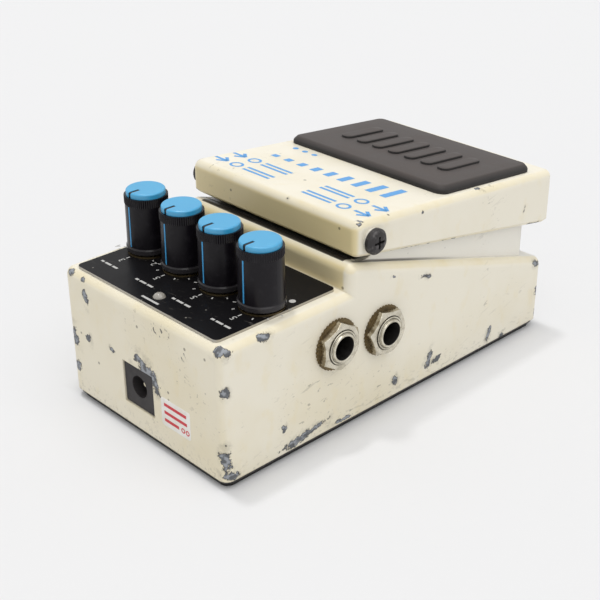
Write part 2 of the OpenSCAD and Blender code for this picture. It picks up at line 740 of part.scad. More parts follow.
// Plunger with a flange that the switch's well holds
module switch_plunger() color("#2b2b2d") from_rear() translate([switch_x, spring_y, 0]) {
    flange_h = switch_board_h + switch_h - cut;
    rotate_extrude() polygon([
        [0, flange_h], [plunger_flange_r, flange_h], [plunger_flange_r, flange_h + cut - run_gap],
        [plunger_r, flange_h + cut - run_gap], [plunger_r, plunger_top - plunger_nose],
        [plunger_r - plunger_taper, plunger_top], [0, plunger_top]
    ]);
}

// Knob: base, tapered body, ribbed ring and the pointer rib that shows through the cap
module knob(i) color("#28262a") from_rear() translate([knob_x[i], knob_row, 0]) {
    ring_low = cap_low - knob_ring_h;
    difference() {
        union() {
            rotate_extrude() polygon([
                [0, knob_low], [knob_d / 2 - knob_round, knob_low], [knob_d / 2, knob_low + knob_round],
                [knob_d / 2, knob_low + knob_base_h - knob_round],
                [knob_ring_r, knob_low + knob_base_h],
                [knob_waist_r, ring_low + overlap], [0, ring_low + overlap]
            ]);
            translate([0, 0, ring_low]) toothed(knob_ring_r, rib_depth, rib_count, knob_ring_h);
        }
        translate([0, 0, knob_low - cut])
            cylinder(r = knob_recess_r, h = pot_bush_top + run_gap - knob_low + cut);
        translate([0, 0, knob_low]) cylinder(r = shaft_d / 2 + seat_gap, h = shaft_top - knob_low);
        translate([0, 0, cap_low - cap_peg_l]) cylinder(r = cap_peg_r, h = knob_h);
        translate([-pointer_w / 4, -knob_d, knob_low + knob_base_h])
            cube([pointer_w / 2, knob_d / 2 + knob_line_depth, ring_low - knob_low - knob_base_h]);
    }
    translate([-pointer_w / 2 + seat_gap, -cap_d / 2 + pointer_in, cap_low - sliver])
        cube([pointer_w - 2 * seat_gap, cap_d / 2 - pointer_in - pointer_hub - seat_gap, cap_h]);
}

// Blue cap with a rounded rim, a peg into the knob and a slot for the pointer rib
module knob_cap(i) color("#1c9ad6") from_rear() translate([knob_x[i], knob_row, 0]) difference() {
    union() {
        rotate_extrude() {
            translate([0, cap_low]) square([cap_d / 2, cap_h - cap_rim]);
            translate([0, cap_low]) square([cap_d / 2 - cap_rim, cap_h]);
            translate([cap_d / 2 - cap_rim, knob_top - cap_rim]) circle(cap_rim);
        }
        translate([0, 0, cap_low - cap_peg_l]) cylinder(r = cap_peg_r - seat_gap, h = cap_peg_l + sliver);
    }
    translate([-pointer_w / 2, -cap_d, cap_low - cap_peg_l - cut])
        cube([pointer_w, cap_d - pointer_hub, cap_h + cap_peg_l + 2 * cut]);
}

// Round control shaft with a flat that drives the knob
module shaft(i) color("silver") from_rear() translate([knob_x[i], knob_row, 0]) difference() {
    low = deck_h - wall - pot_h + pot_floor;
    translate([0, 0, low]) cylinder(r = shaft_d / 2, h = shaft_top - seat_gap - low);
    translate([-shaft_d, shaft_d / 4, pot_bush_top + cut]) cube([2 * shaft_d, shaft_d, shaft_top]);
}

// Control under the deck, its threaded bush up through deck and panel
module pot(i) color("#55565a") from_rear() translate([knob_x[i], knob_row, 0]) difference() {
    body_h = deck_h - wall;
    union() {
        translate([-pot_w / 2, -pot_w / 2, body_h - pot_h]) cube([pot_w, pot_w, pot_h]);
        translate([0, 0, body_h - sliver]) cylinder(r = pot_bush_r, h = pot_bush_top - body_h + sliver);
        for (k = [-1:1])
            translate([k * pot_pin_pitch - pot_pin[0] / 2, pot_w / 2 - 2 * pot_pin[1], body_h - pot_h])
                mirror([0, 0, 1]) cube(pot_pin);
    }
    translate([0, 0, body_h - pot_h + pot_floor - run_gap / 2])
        cylinder(r = shaft_d / 2 + shaft_gap, h = deck_h);
}

module pot_nuts() color("#a08a62") from_rear() for (x = knob_x)
    translate([x, knob_row, panel_h + pot_washer_t]) difference() {
        cylinder(r = pot_nut_af / sqrt(3), h = pot_nut_t, $fn = 6);
        translate([0, 0, -cut]) cylinder(r = pot_bush_r + seat_gap, h = pot_nut_t + 2 * cut);
    }

module pot_washers() color("#8d7a58") from_rear() for (x = knob_x)
    translate([x, knob_row, panel_h]) difference() {
        cylinder(r = knob_d / 2 - pot_washer_in, h = pot_washer_t);
        translate([0, 0, -cut]) cylinder(r = pot_bush_r + seat_gap, h = pot_washer_t + 2 * cut);
    }

// Audio jack housing behind the side wall; side is -1 for the inputs and 1 for the outputs
module jack(side, j) color("#232325") from_rear() translate([0, jacks[j][0], jacks[j][1]])
    mirror([side < 0 ? 1 : 0, 0, 0]) difference() {
        translate([inner_w / 2 - jack_box_l, -jack_box_w / 2, -jack_box_h / 2])
            cube([jack_box_l, jack_box_w, jack_box_h]);
        translate([body_w / 2 + bush_reach - jack_depth, 0, 0]) along_x(jack_bore / 2 + run_gap, jack_depth);
        translate([inner_w / 2 - bush_root, 0, 0]) along_x(bush_d / 2 + seat_gap, bush_root + cut);
    }

// Repeats a shape drawn for the right-hand side at all four jacks
module at_jacks() for (s = [0, 1], j = jacks) let ($nut_turn = j[2])
    mirror([s, 0, 0]) translate([0, j[0], j[1]]) children();

module jack_bushings() color("#c9c6bd") from_rear() at_jacks() difference() {
    bush_x = inner_w / 2 - bush_root;
    bush_end = body_w / 2 + bush_reach;
    translate([bush_x, 0, 0]) rotate([0, 90, 0]) rotate_extrude() polygon([
        [0, 0], [bush_d / 2, 0], [bush_d / 2, bush_end - bush_x - bush_chamfer],
        [bush_d / 2 - bush_chamfer, bush_end - bush_x], [0, bush_end - bush_x]
    ]);
    translate([bush_x - cut, 0, 0]) along_x(jack_bore / 2, bush_end - bush_x + 2 * cut);
}

module jack_nuts() color("#cfccc2") from_rear() at_jacks() translate([body_w / 2 + jack_washer_t, 0, 0])
    rotate([0, 90, 0]) rotate($nut_turn) difference() {
        corner_r = nut_af / sqrt(3);
        intersection() {
            cylinder(r = corner_r, h = nut_t, $fn = 6);
            rotate_extrude() polygon([
                [0, 0], [corner_r, 0], [corner_r, nut_t - nut_round], [nut_af / 2, nut_t], [0, nut_t]
            ]);
        }
        translate([0, 0, -cut]) cylinder(r = bush_d / 2 + seat_gap, h = nut_t + 2 * cut);
    }

module jack_washers() color("#8a7a5c") from_rear() at_jacks() translate([body_w / 2, 0, 0])
    rotate([0, 90, 0]) difference() {
        toothed(nut_af / sqrt(3) + washer_proud, washer_tooth, washer_teeth, jack_washer_t);
        translate([0, 0, -cut]) cylinder(r = bush_d / 2 + seat_gap, h = jack_washer_t + 2 * cut);
    }

module dc_jack() color("#3a383a") from_rear() translate([dc_x, dc_recess, board_h]) difference() {
    translate([-dc_w / 2, 0, 0]) cube([dc_w, dc_l, dc_h]);
    translate([0, -cut, dc_h / 2 + dc_bore_lift]) along_y(dc_bore / 2, dc_depth + cut);
    translate([0, dc_depth - cut, dc_h / 2 + dc_bore_lift]) along_y(dc_pin_d / 2 + seat_gap, dc_l);
}

module dc_pin() color("goldenrod") from_rear()
    translate([dc_x, dc_recess + dc_l, board_h + dc_h / 2 + dc_bore_lift]) rotate([90, 0, 0]) {
        pin_l = dc_l - dc_pin_set;
        rotate_extrude() polygon([
            [0, 0], [dc_pin_d / 2, 0], [dc_pin_d / 2, pin_l - dc_pin_nose],
            [dc_pin_d / 2 - dc_pin_nose, pin_l], [0, pin_l]
        ]);
    }

// Check light: a domed lamp in a flanged plastic holder under the deck
module check_led() color("#b9b4ab") from_rear() translate([led_x, led_row, 0]) {
    r = led_d / 2;
    dome_h = panel_h + led_proud - r;
    translate([0, 0, led_low]) cylinder(r = r, h = dome_h - led_low);
    intersection() {
        translate([0, 0, dome_h]) sphere(r);
        translate([-r, -r, dome_h - sliver]) cube(2 * r);
    }
}

module led_holder() color("#1f1f21") from_rear() translate([led_x, led_row, led_low]) difference() {
    union() {
        cylinder(r = led_holder_r, h = led_collar_h + wall);
        cylinder(r = led_holder_r + led_collar, h = led_collar_h);
    }
    translate([0, 0, -cut]) cylinder(r = led_d / 2 + seat_gap, h = led_collar_h + wall + 2 * cut);
}

module main_board() color("#2f6b3c") from_rear() difference() {
    board_w = inner_w - 2 * board_margin;
    translate([-board_w / 2, wall + board_margin, board_low])
        cube([board_w, board_l - wall - board_margin, board_t]);
    for (p = base_posts) translate([p[0], p[1], 0]) cylinder(r = base_post_r + run_gap, h = ridge_h);
    for (p = board_posts) translate([p[0], p[1], 0]) cylinder(r = screw_r + seat_gap, h = ridge_h);
}

module board_screws() color("silver") from_rear()
    for (p = board_posts) translate([p[0], p[1], board_low]) board_screw(board_t + screw_depth - cut);

// Chips and capacitors soldered on the board
module board_parts() color("#1d1d1f") from_rear() translate([0, 0, board_h]) {
    for (c = chips) translate([c[0] - c[2] / 2, c[1] - c[3] / 2, 0]) cube([c[2], c[3], c[4]]);
    for (c = capacitors) translate([c[0], c[1], 0]) cylinder(r = capacitor_r, h = capacitor_h);
}

enclosure();
battery_block();
control_panel();
base_plate();
base_rubber();
base_screws();
treadle();
tread_pad();
hinge_screws();
hinge_bushes();
return_spring();
thumbscrew();
thumbscrew_clip();
guide_bush();
foot_switch();
switch_board();
switch_screws();
switch_plunger();
knob(0);  // mode_knob
knob(1);  // time_knob
knob(2);  // feedback_knob
knob(3);  // level_knob
knob_cap(0);  // mode_cap
knob_cap(1);  // time_cap
knob_cap(2);  // feedback_cap
knob_cap(3);  // level_cap
shaft(0);  // mode_shaft
shaft(1);  // time_shaft
shaft(2);  // feedback_shaft
shaft(3);  // level_shaft
pot(0);  // mode_switch
pot(1);  // time_pot
pot(2);  // feedback_pot
pot(3);  // level_pot
pot_nuts();
pot_washers();
jack(-1, 0);  // input_a_jack
jack(-1, 1);  // input_b_jack
jack(1, 0);  // output_a_jack
jack(1, 1);  // output_b_jack
jack_bushings();
jack_nuts();
jack_washers();
dc_jack();
dc_pin();
check_led();
led_holder();
main_board();
board_screws();
board_parts();
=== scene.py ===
import json

import bmesh
import bpy
import numpy as np
from mathutils import Matrix, Vector


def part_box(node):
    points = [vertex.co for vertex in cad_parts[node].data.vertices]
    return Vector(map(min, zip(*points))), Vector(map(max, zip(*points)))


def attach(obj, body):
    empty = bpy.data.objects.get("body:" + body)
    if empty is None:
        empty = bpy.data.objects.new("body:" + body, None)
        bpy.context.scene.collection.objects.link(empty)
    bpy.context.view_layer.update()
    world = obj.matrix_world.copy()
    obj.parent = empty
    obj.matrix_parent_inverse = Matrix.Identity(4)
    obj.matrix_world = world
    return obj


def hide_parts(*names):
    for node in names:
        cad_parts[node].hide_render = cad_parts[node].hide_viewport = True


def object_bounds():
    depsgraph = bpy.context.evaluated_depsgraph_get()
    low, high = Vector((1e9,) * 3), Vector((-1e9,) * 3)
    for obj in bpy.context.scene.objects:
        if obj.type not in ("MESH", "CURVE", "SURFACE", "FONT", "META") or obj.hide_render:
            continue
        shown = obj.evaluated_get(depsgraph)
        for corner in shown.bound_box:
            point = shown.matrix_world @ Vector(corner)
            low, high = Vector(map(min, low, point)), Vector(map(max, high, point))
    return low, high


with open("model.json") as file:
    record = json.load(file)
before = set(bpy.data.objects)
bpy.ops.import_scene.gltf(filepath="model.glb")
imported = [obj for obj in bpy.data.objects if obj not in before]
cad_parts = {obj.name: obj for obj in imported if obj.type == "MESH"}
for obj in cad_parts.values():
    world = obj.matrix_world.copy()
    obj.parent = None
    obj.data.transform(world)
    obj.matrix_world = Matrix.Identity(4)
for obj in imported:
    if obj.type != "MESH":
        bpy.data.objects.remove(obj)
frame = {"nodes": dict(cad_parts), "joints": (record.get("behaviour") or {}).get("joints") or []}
cad_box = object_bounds()
mm = 0.001


# Table
# A seamless sheet of pale matt paper that fills the picture. To the lens a little light of its own veils the
# pedal's soft shadow, though not close to the pedal's foot, where the shadow stays deep.
def srgb(red, green, blue):
    """The linear colour, with alpha 1, of an 8-bit sRGB triple."""
    c = np.array([red, green, blue]) / 255
    return (*np.where(c <= 0.04045, c / 12.92, ((c + 0.055) / 1.055) ** 2.4), 1.0)


def surface(name, grids, closed=True, crease=35):
    """One smooth mesh over grids of points in millimetres.

    Each cell of a grid is a quad, a closed grid's last column of points joins its first, and points that
    coincide, as at a pole, become one. Edges that turn more than the crease angle, in degrees, stay sharp.
    """
    same_point = 1e-7
    points, quads, first = [], [], 0
    for grid in grids:
        rows, columns = grid.shape[:2]
        index = first + np.arange(rows * columns).reshape(rows, columns)
        first += rows * columns
        if closed:
            index = np.hstack([index, index[:, :1]])
        cells = [index[:-1, :-1], index[:-1, 1:], index[1:, 1:], index[1:, :-1]]
        points.append(grid.reshape(-1, 3) * mm)
        quads.append(np.stack(cells, -1).reshape(-1, 4))
    mesh = bpy.data.meshes.new(name)
    mesh.from_pydata(np.concatenate(points).tolist(), [], np.concatenate(quads).tolist())
    shell = bmesh.new()
    shell.from_mesh(mesh)
    bmesh.ops.remove_doubles(shell, verts=shell.verts, dist=same_point)
    bmesh.ops.recalc_face_normals(shell, faces=shell.faces)
    shell.to_mesh(mesh)
    shell.free()
    mesh.shade_smooth()
    mesh.set_sharp_from_angle(angle=np.radians(crease))
    piece = bpy.data.objects.new(name, mesh)
    bpy.context.scene.collection.objects.link(piece)
    return piece


class Wire:
    """One socket of a material's node tree. Arithmetic on wires and numbers adds Math nodes."""

    def __init__(self, tree, socket):
        self.tree = tree
        self.socket = socket

    def node(self, kind, settings=(), sockets=(), out=0):
        """Adds a node, sets its settings, then its sockets' values or wires, and gives one of its outputs."""
        made = self.tree.nodes.new("ShaderNode" + kind)
        for name, value in dict(settings).items():
            setattr(made, name, value)
        for key, value in dict(sockets).items():
            if isinstance(value, Wire):
                self.tree.links.new(value.socket, made.inputs[key])
            else:
                made.inputs[key].default_value = value
        return Wire(self.tree, made.outputs[out])

    def math(self, operation, *values):
        """A Math node on wires and numbers."""
        return self.node("Math", {"operation": operation}, enumerate(values))

    def __add__(self, other):
        return self.math("ADD", self, other)

    def __sub__(self, other):
        return self.math("SUBTRACT", self, other)

    def __rsub__(self, other):
        return self.math("SUBTRACT", other, self)

    def __mul__(self, other):
        return self.math("MULTIPLY", self, other)

    def __abs__(self):
        return self.math("ABSOLUTE", self)

    __radd__ = __add__
    __rmul__ = __mul__

    def most(self, other):
        """The larger of two wires: where they are masks, either one."""
        return self.math("MAXIMUM", self, other)

    def least(self, other):
        """The smaller of two wires."""
        return self.math("MINIMUM", self, other)

    def step(self, low, high):
        """0 at low, 1 at high, and a smooth rise between them; low may be the larger one."""
        span = {"Value": self, "From Min": low, "From Max": high}
        return self.node("MapRange", {"interpolation_type": "SMOOTHSTEP"}, span)

    def step_mm(self, low, high):
        """The same rise between two lengths in millimetres."""
        return self.step(low * mm, high * mm)

    def mix(self, a, b):
        """Colour a where this wire is 0 and colour b where it is 1."""
        return self.node("Mix", {"data_type": "RGBA"}, {0: self, 6: a, 7: b}, out=2)

    def axis(self, name):
        """One part of a vector: X, Y or Z."""
        return self.node("SeparateXYZ", sockets={0: self}, out=name)

    def noise(self, scale, detail=3, out="Fac"):
        """Soft noise with so many cells to the metre."""
        return self.node("TexNoise", sockets={"Vector": self, "Scale": scale, "Detail": detail}, out=out)

    def specks(self, scale, outer, inner, spared):
        """Round specks in random cells, so many to the metre, apart from the share of cells that is spared.

        A speck is full at the inner distance from its cell's point and gone at the outer one.
        """
        cells = {"Vector": self, "Scale": scale}
        faint_share = 0.06
        dot = self.node("TexVoronoi", sockets=cells, out="Distance").step(outer, inner)
        lot = self.node("TexVoronoi", sockets=cells, out="Color").axis("X")
        return dot * lot.step(spared, spared + faint_share)

    def drawn_out(self, way, times):
        """These coordinates drawn out along a direction, so that noise on them runs in lines that way."""
        turn = Vector(way).to_track_quat("X", "Z").to_euler()
        spot = {"Vector": self, "Rotation": turn, "Scale": (times, 1, 1)}
        return self.node("Mapping", {"vector_type": "TEXTURE"}, spot)


def finish(name, **plain):
    """A new material with its plain numbers set; gives the material and its Object coordinates."""
    material = bpy.data.materials.new(name)
    material.use_nodes = True
    tree = material.node_tree
    for socket, value in plain.items():
        tree.nodes["Principled BSDF"].inputs[socket.replace("_", " ")].default_value = value
    coordinates = tree.nodes.new("ShaderNodeTexCoord")
    return material, Wire(tree, coordinates.outputs["Object"])


def feed(material, **wires):
    """Links wires to the material's shader, by socket name."""
    tree = material.node_tree
    for socket, wire in wires.items():
        tree.links.new(wire.socket, tree.nodes["Principled BSDF"].inputs[socket.replace("_", " ")])


table_reach, table_drop = 4000, 0.1
table_at = np.array([-table_reach, table_reach])
table_grid = np.stack(np.meshgrid(table_at, table_at, -table_drop), -1)[:, :, 0]
table = surface("table", [table_grid], closed=False)
paper, place = finish("table_paper", Roughness=0.9, Specular_IOR_Level=0.1, Emission_Strength=1.0)
no_light = srgb(0, 0, 0)
veil_share = 0.32
foot_x, foot_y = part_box("base_plate")[1][:2]
side_veiled = foot_x + 10 * mm
end_clear, end_veiled = foot_y + 0.5 * mm, foot_y + 3.5 * mm
beside, beyond = abs(place.axis("X")), abs(place.axis("Y"))
veiled = beside.step(foot_x, side_veiled).most(beyond.step(end_clear, end_veiled))
veil = veil_share * veiled * place.node("LightPath", out="Is Camera Ray")
sheet_white = place.noise(3).mix(srgb(222, 222, 223), srgb(224, 224, 224))
feed(paper, Base_Color=veil.mix(sheet_white, no_light),
     Emission_Color=veil.mix(no_light, srgb(242, 242, 243)))
table.data.materials.append(paper)


# Studio light
# An even white room, one very broad soft lamp high on the right, and a smaller one nearly overhead, a little
# to the left, that draws the faint shadow on the right. The lens and glossy things see the room as white.
room_light, room_seen = 0.64, 0.89
room = bpy.data.worlds.new("room")
room.use_nodes = True
room_tree = room.node_tree
ray_kind = room_tree.nodes.new("ShaderNodeLightPath").outputs
seen = Wire(room_tree, ray_kind["Is Camera Ray"])
for kind in ("Is Glossy Ray", "Is Transmission Ray"):
    seen = seen.most(Wire(room_tree, ray_kind[kind]))
strength = room_light + (room_seen - room_light) * seen
room_tree.links.new(strength.socket, room_tree.nodes["Background"].inputs["Strength"])
room_tree.nodes["Background"].inputs["Color"].default_value = srgb(255, 255, 255)
bpy.context.scene.world = room

# Each lamp: its name, the direction that it shines from, its strength and the angle it fills, in degrees
lamps = [("overhead_lamp", (0.42, -0.06, 0.9), 1.05, 60), ("left_lamp", (-0.21, 0.0, 0.975), 0.84, 5)]
for lamp_name, lamp_from, lamp_power, lamp_spread in lamps:
    lamp = bpy.data.objects.new(lamp_name, bpy.data.lights.new(lamp_name, "SUN"))
    lamp.data.energy = lamp_power
    lamp.data.angle = np.radians(lamp_spread)
    lamp.rotation_euler = Vector(lamp_from).to_track_quat("Z", "Y").to_euler()
    bpy.context.scene.collection.objects.link(lamp)


# Camera
# A long lens held above and behind the pedal's right rear corner, and turned a hair off level. Its place is
# in millimetres, and its focal length in pixels of the square picture.
picture_px, focal_px = 600, 1176
sensor = 36
nearest = 10 * mm
heading, height, roll = np.radians([46.71, 27.26, -0.35])
eye = np.array([218.72, -213.95, 176.41])
back = np.array([np.sin(heading) * np.cos(height), -np.cos(heading) * np.cos(height), np.sin(height)])
level = np.array([np.cos(heading), np.sin(heading), 0])
above = np.cross(back, level)
right = level * np.cos(roll) + above * np.sin(roll)
upward = above * np.cos(roll) - level * np.sin(roll)
camera = bpy.data.objects.new("camera", bpy.data.cameras.new("camera"))
camera.data.sensor_width = sensor
camera.data.lens = sensor * focal_px / picture_px
camera.data.clip_start = nearest
camera.matrix_world = Matrix(np.column_stack([right, upward, back, eye * mm]).tolist() + [[0, 0, 0, 1]])
bpy.context.scene.collection.objects.link(camera)
bpy.context.scene.camera = camera
bpy.context.scene.view_settings.view_transform = "Standard"


# Cast enclosure
# A die-cast aluminium box, sprayed with cream enamel over grey primer. The enamel has yellowed where it was
# handled, and knocks have broken it through to the primer at the corners and along the foot. Shade is also
# painted into the enamel's colour: in the hollow under the treadle's lip, in the corner at the block's foot,
# round the knocks, on up-facing fillets and on the ridge's rear face.
cream = srgb(235, 229, 212)
aged_cream = srgb(228, 219, 194)
# A tan for stains, and for painted shade on fillets and on shaded rear faces
tan_stain_and_shade = srgb(226, 207, 148)
pale_cream = srgb(232, 229, 220)
primer = srgb(150, 154, 160)
bare_edge = srgb(36, 35, 37)
# Grime for dirt, and for the painted shade round the knocks
grime_and_edge_shade = srgb(84, 76, 58)
# Painted shade of the hollow under the treadle's lip
hollow_shade_colour = srgb(62, 58, 50)
enamel_t = 0.12
enamel_edge_r = 0.5

# Each knock: its middle, half of its length as a vector, and half of its width, in millimetres
body_knocks = [
    ((-0.6, -64.5, 24.2), (2.0, 0, 0.0), 1.1), ((2.6, -64.5, 22.3), (3.3, 0, -1.7), 2.2),
    ((5.8, -64.5, 20.2), (1.0, 0, -2.4), 1.3), ((-12.4, -64.5, 22.4), (0.9, 0, -0.2), 0.7),
    ((-30.4, -64.2, 19.9), (0.4, 0, -2.8), 1.6), ((-23.7, -64.5, 21.3), (0.3, 0, -1.1), 1.1),
    ((-30.2, -64.2, 10.3), (1.3, 0, -1.1), 1.5), ((-29.3, -64.0, 39.2), (0.2, 0, -1.0), 1.1),
    ((-24.1, -64.3, 39.0), (0.7, 0, 0.1), 0.7), ((-23.1, -64.5, 34.4), (0.6, 0, -2.1), 1.1),
    ((31.4, -63.4, 39.4), (1.6, 0, 0.0), 1.4), ((32.6, -62.6, 39.2), (0, 1.4, -0.3), 1.2),
    ((32.6, -63.4, 28.4), (0, 0.2, -1.5), 1.0), ((32.2, -63.8, 8.6), (0, 0, -3.4), 1.3),
    ((32.6, -62.5, 4.2), (0, 1.9, -0.6), 1.2), ((33, -44.7, 9.9), (0, 0.5, 0.9), 0.8),
    ((33, -40.5, 4.4), (0, 4.5, 0.6), 1.1), ((33, -34.0, 5.3), (0, 4.6, 0.8), 0.7),
    ((33, -23.2, 3.4), (0, 3.4, -0.2), 0.5), ((33, -3.0, 7.1), (0, 0.5, 1.2), 1.0),
    ((33, 10.9, 7.6), (0, 0.8, 2.6), 1.0), ((33, 14.4, 6.9), (0, 2.0, 0.6), 0.8),
    ((33, 38.2, 6.0), (0, 0.7, 2.0), 0.9), ((33, 44.8, 2.8), (0, 1.0, 0.2), 0.8),
    ((32.6, 59.4, 22.0), (0, 2.1, -0.5), 0.8), ((32.4, 61.7, 11.6), (0, 0.9, -2.0), 1.2),
    ((32.4, 62.3, 4.4), (0, 0.5, -1.6), 1.0), ((32.4, -50.8, 39.0), (0, 1.7, -0.4), 1.0),
    ((32.7, -4.9, 39.6), (0, 0.8, -0.3), 0.5), ((32.7, 8.0, 35.4), (0, 2.2, -0.8), 0.6),
]


def bump(height, depth, strength, normal=None):
    """A normal that rises and falls with the height wire, by depth in millimetres from 0 to 1."""
    sockets = {"Height": height, "Distance": depth * mm, "Strength": strength}
    if normal:
        sockets["Normal"] = normal
    return height.node("Bump", sockets=sockets)


def cream_enamel(name, knocks, tan_and_shade_boxes, scored=(), kicked=0, pale=None, black=None, nicked=None, worn=None):
    """Cream enamel with its stains, specks and knocks.

    A knock is an ellipsoid about its middle: a point's distance in it is the length of the point in the
    ellipsoid's own units, and noise on that distance breaks its outline. tan_and_shade_boxes lists boxes, low
    and high corner and amount, of tan: yellowing where hands and dust have yellowed the enamel most, and
    painted shade on the rear faces of the ridge and the treadle's lip. scored lists boxes of short deep
    scratches. kicked is the height, in millimetres, below which shoes have scuffed it. pale, black and nicked
    take the coordinates and give masks of the paler inner walls, the painted shade in the hollow and in the
    corner at the block's foot, where dirt lies too, and the edge nicked all along, and worn gives the depth
    of more knocks.
    """
    material, place = finish(name, IOR=1.5, Coat_Roughness=0.25)
    x, y, z = (place.axis(a) for a in "XYZ")

    def within(low, high):
        """Mask of a box whose faces fade in over a millimetre."""
        inside = [wire.step_mm(a, a + 1) * wire.step_mm(b, b - 1) for wire, a, b in zip((x, y, z), low, high)]
        return inside[0] * inside[1] * inside[2]

    # Stains and painted shade: clouds of age, tan on up-facing rounded edges and in the boxes, faint runs
    soft = place.node("Bevel", {"samples": 6}, {"Radius": enamel_edge_r * mm})
    facing = [abs(soft.axis(a)) for a in "XYZ"]
    flat = facing[0].most(facing[1]).most(facing[2])
    rounded = flat.step(0.995, 0.86) * facing[2].step(0.05, 0.3)
    colour = place.noise(38, 4).step(0.38, 0.78).mix(cream, aged_cream)
    handled = place.noise(70, 5).step(0.4, 0.72)
    # The tan on up-facing rounded edges is partly handling stain and partly painted shade of the fillets
    colour = (rounded * (0.2 + 0.22 * handled)).mix(colour, tan_stain_and_shade)
    # Tan in the boxes: yellowing, and painted shade on the rear faces of the ridge and the treadle's lip
    for low, high, amount in tan_and_shade_boxes:
        colour = (amount * within(low, high)).mix(colour, tan_stain_and_shade)
    smear = place.drawn_out((0, 0, 1), 1.6).noise(210, 9).step(0.55, 0.72)
    colour = (smear * 0.16).mix(colour, tan_stain_and_shade)
    if pale:
        colour = (pale(place) * 0.85).mix(colour, pale_cream)

    # Grime: specks, patches of scuffs and long fine scratches, dirt along the foot and the scored boxes
    scuff = place.drawn_out((0, 1, 0), 2).noise(700, 7).step(0.645, 0.69)
    for way in ((0.1, 0.95, 0.25), (0.9, 0.2, -0.4)):
        scuff = scuff.most(place.drawn_out(way, 34).noise(1050, 2).step(0.66, 0.72) * 0.5)
    scuff = scuff * place.noise(34, 3).step(0.5, 0.66)
    if kicked:
        dirt = place.drawn_out((0, 1, 0), 2).noise(1100, 6).step(0.53, 0.66)
        scuff = scuff.most(0.5 * z.step_mm(kicked, kicked / 3) * dirt)
    speck = place.specks(260, outer=0.15, inner=0.07, spared=0.84)
    colour = (speck * 0.7).mix(colour, grime_and_edge_shade)
    colour = (scuff * 0.45).mix(colour, grime_and_edge_shade)
    for low, high in scored:
        torn = within(low, high) * place.drawn_out((1, 0, -2), 1.8).noise(1050, 5).step(0.55, 0.6)
        colour = (0.9 * torn).mix(colour, bare_edge)

    # Knocks: the nearest one's distance, on coordinates shaken by up to the jag, and noise on that distance
    jag = 1.1 * mm
    shake = place.noise(520, 4, out="Color")
    jagged = place.node("VectorMath", {"operation": "MULTIPLY_ADD"}, {0: shake, 1: (jag,) * 3, 2: place})
    depth = None
    for middle, half, width in knocks:
        turn = Vector(half).to_track_quat("X", "Z").to_euler()
        size = (Vector(half).length * mm, width * mm, width * mm)
        spot = {"Vector": jagged, "Location": Vector(middle) * mm + Vector((jag,) * 3) / 2,
                "Rotation": turn, "Scale": size}
        local = place.node("Mapping", {"vector_type": "TEXTURE"}, spot)
        reach = place.node("VectorMath", {"operation": "LENGTH"}, {0: local}, out="Value")
        depth = depth.least(reach) if depth else reach
    depth = depth + 2.2 * place.noise(430, 3) + 1.8 * place.noise(1500, 5) - 2.0
    if worn:
        depth = depth.least(worn(place))
    broken = depth.step(1.03, 0.96)
    if nicked:
        broken = broken.most(nicked(place))
    soiled = depth.step(2.6, 1.0) * place.noise(260, 5).step(0.46, 0.66)
    # A ring on the paint just outside each knock: painted shade of the broken edge, with dirt soiled round it
    rim_shade_and_dirt = (0.55 * depth.step(1.25, 1.0) + 0.3 * soiled) * (1 - broken)
    blackened = place.drawn_out((0, 1, 0), 1.7).noise(800, 6).step(0.43, 0.58)
    metal = (0.7 * blackened).most(depth.step(0.66, 0.96)).mix(primer, bare_edge)
    colour = rim_shade_and_dirt.mix(colour, grime_and_edge_shade)
    colour = broken.mix(colour, metal)
    # Painted shade: the hollow under the treadle's lip, and the corner at the block's foot, where there is
    # dirt too
    if black:
        colour = black(place).mix(colour, hollow_shade_colour)

    orange_peel = 0.12 * place.noise(1400, 2)
    feed(material, Base_Color=colour, Roughness=0.36 + 0.12 * handled + 0.2 * broken,
         Coat_Weight=0.2 * (1 - broken), Normal=bump(orange_peel - broken, enamel_t, 0.6, soft))
    return material


def dress(material, *nodes):
    """Puts the material in the slots of CAD nodes."""
    for node in nodes:
        frame["nodes"][node].material_slots[0].material = material


def inner_walls(place):
    """Mask of the raised block under the treadle, which light and hands don't reach."""
    block_x, block_y = 31, -12
    inside = abs(place.axis("X")).step_mm(block_x, block_x - 0.4)
    return inside * place.axis("Y").step_mm(block_y, block_y + 1)


def lip_hollow(place):
    """Mask of painted shade in the hollow that the treadle's lip swings in, and of dirt and painted shade in
    the corner at the block's foot.

    The corner runs where the side walls' top, a slope that falls to the front, meets the block.
    """
    hollow_rear, hollow_front, hollow_x = -19.8, -8, 28.4
    slope_rear, slope_top, slope_fall = -18.9, 47.72, 0.3018
    corner_x, corner_fades, corner_ends = 30.6, -4, 30
    x, y = abs(place.axis("X")), place.axis("Y")
    along = y.step_mm(hollow_rear, hollow_rear + 0.25) * y.step_mm(hollow_front, hollow_front - 1)
    hollow = along * x.step_mm(hollow_x + 0.2, hollow_x)
    over_slope = place.axis("Z") + slope_fall * y - (slope_top + slope_fall * slope_rear) * mm
    corner = abs(over_slope).step_mm(0.7, 0.2)
    corner = corner * x.step_mm(corner_x + 0.5, corner_x) * x.step_mm(corner_x - 1, corner_x - 0.6)
    corner_shade_and_dirt = corner * y.step_mm(slope_rear, slope_rear + 1) * y.step_mm(corner_ends, corner_fades)
    return hollow.most(0.75 * corner_shade_and_dirt)


def far_side(place):
    """Depth of the knocks on the left side: chips where coarse noise peaks, most of them low down."""
    peak, low_share, steepness, out_of_reach = 0.68, 0.05, 14, 5
    off_side = place.axis("X").step_mm(-32.7, -32.2)
    low_down = place.axis("Z").step_mm(24, 5)
    return 1 + steepness * (peak - place.noise(105, 6) - low_share * low_down) + out_of_reach * off_side


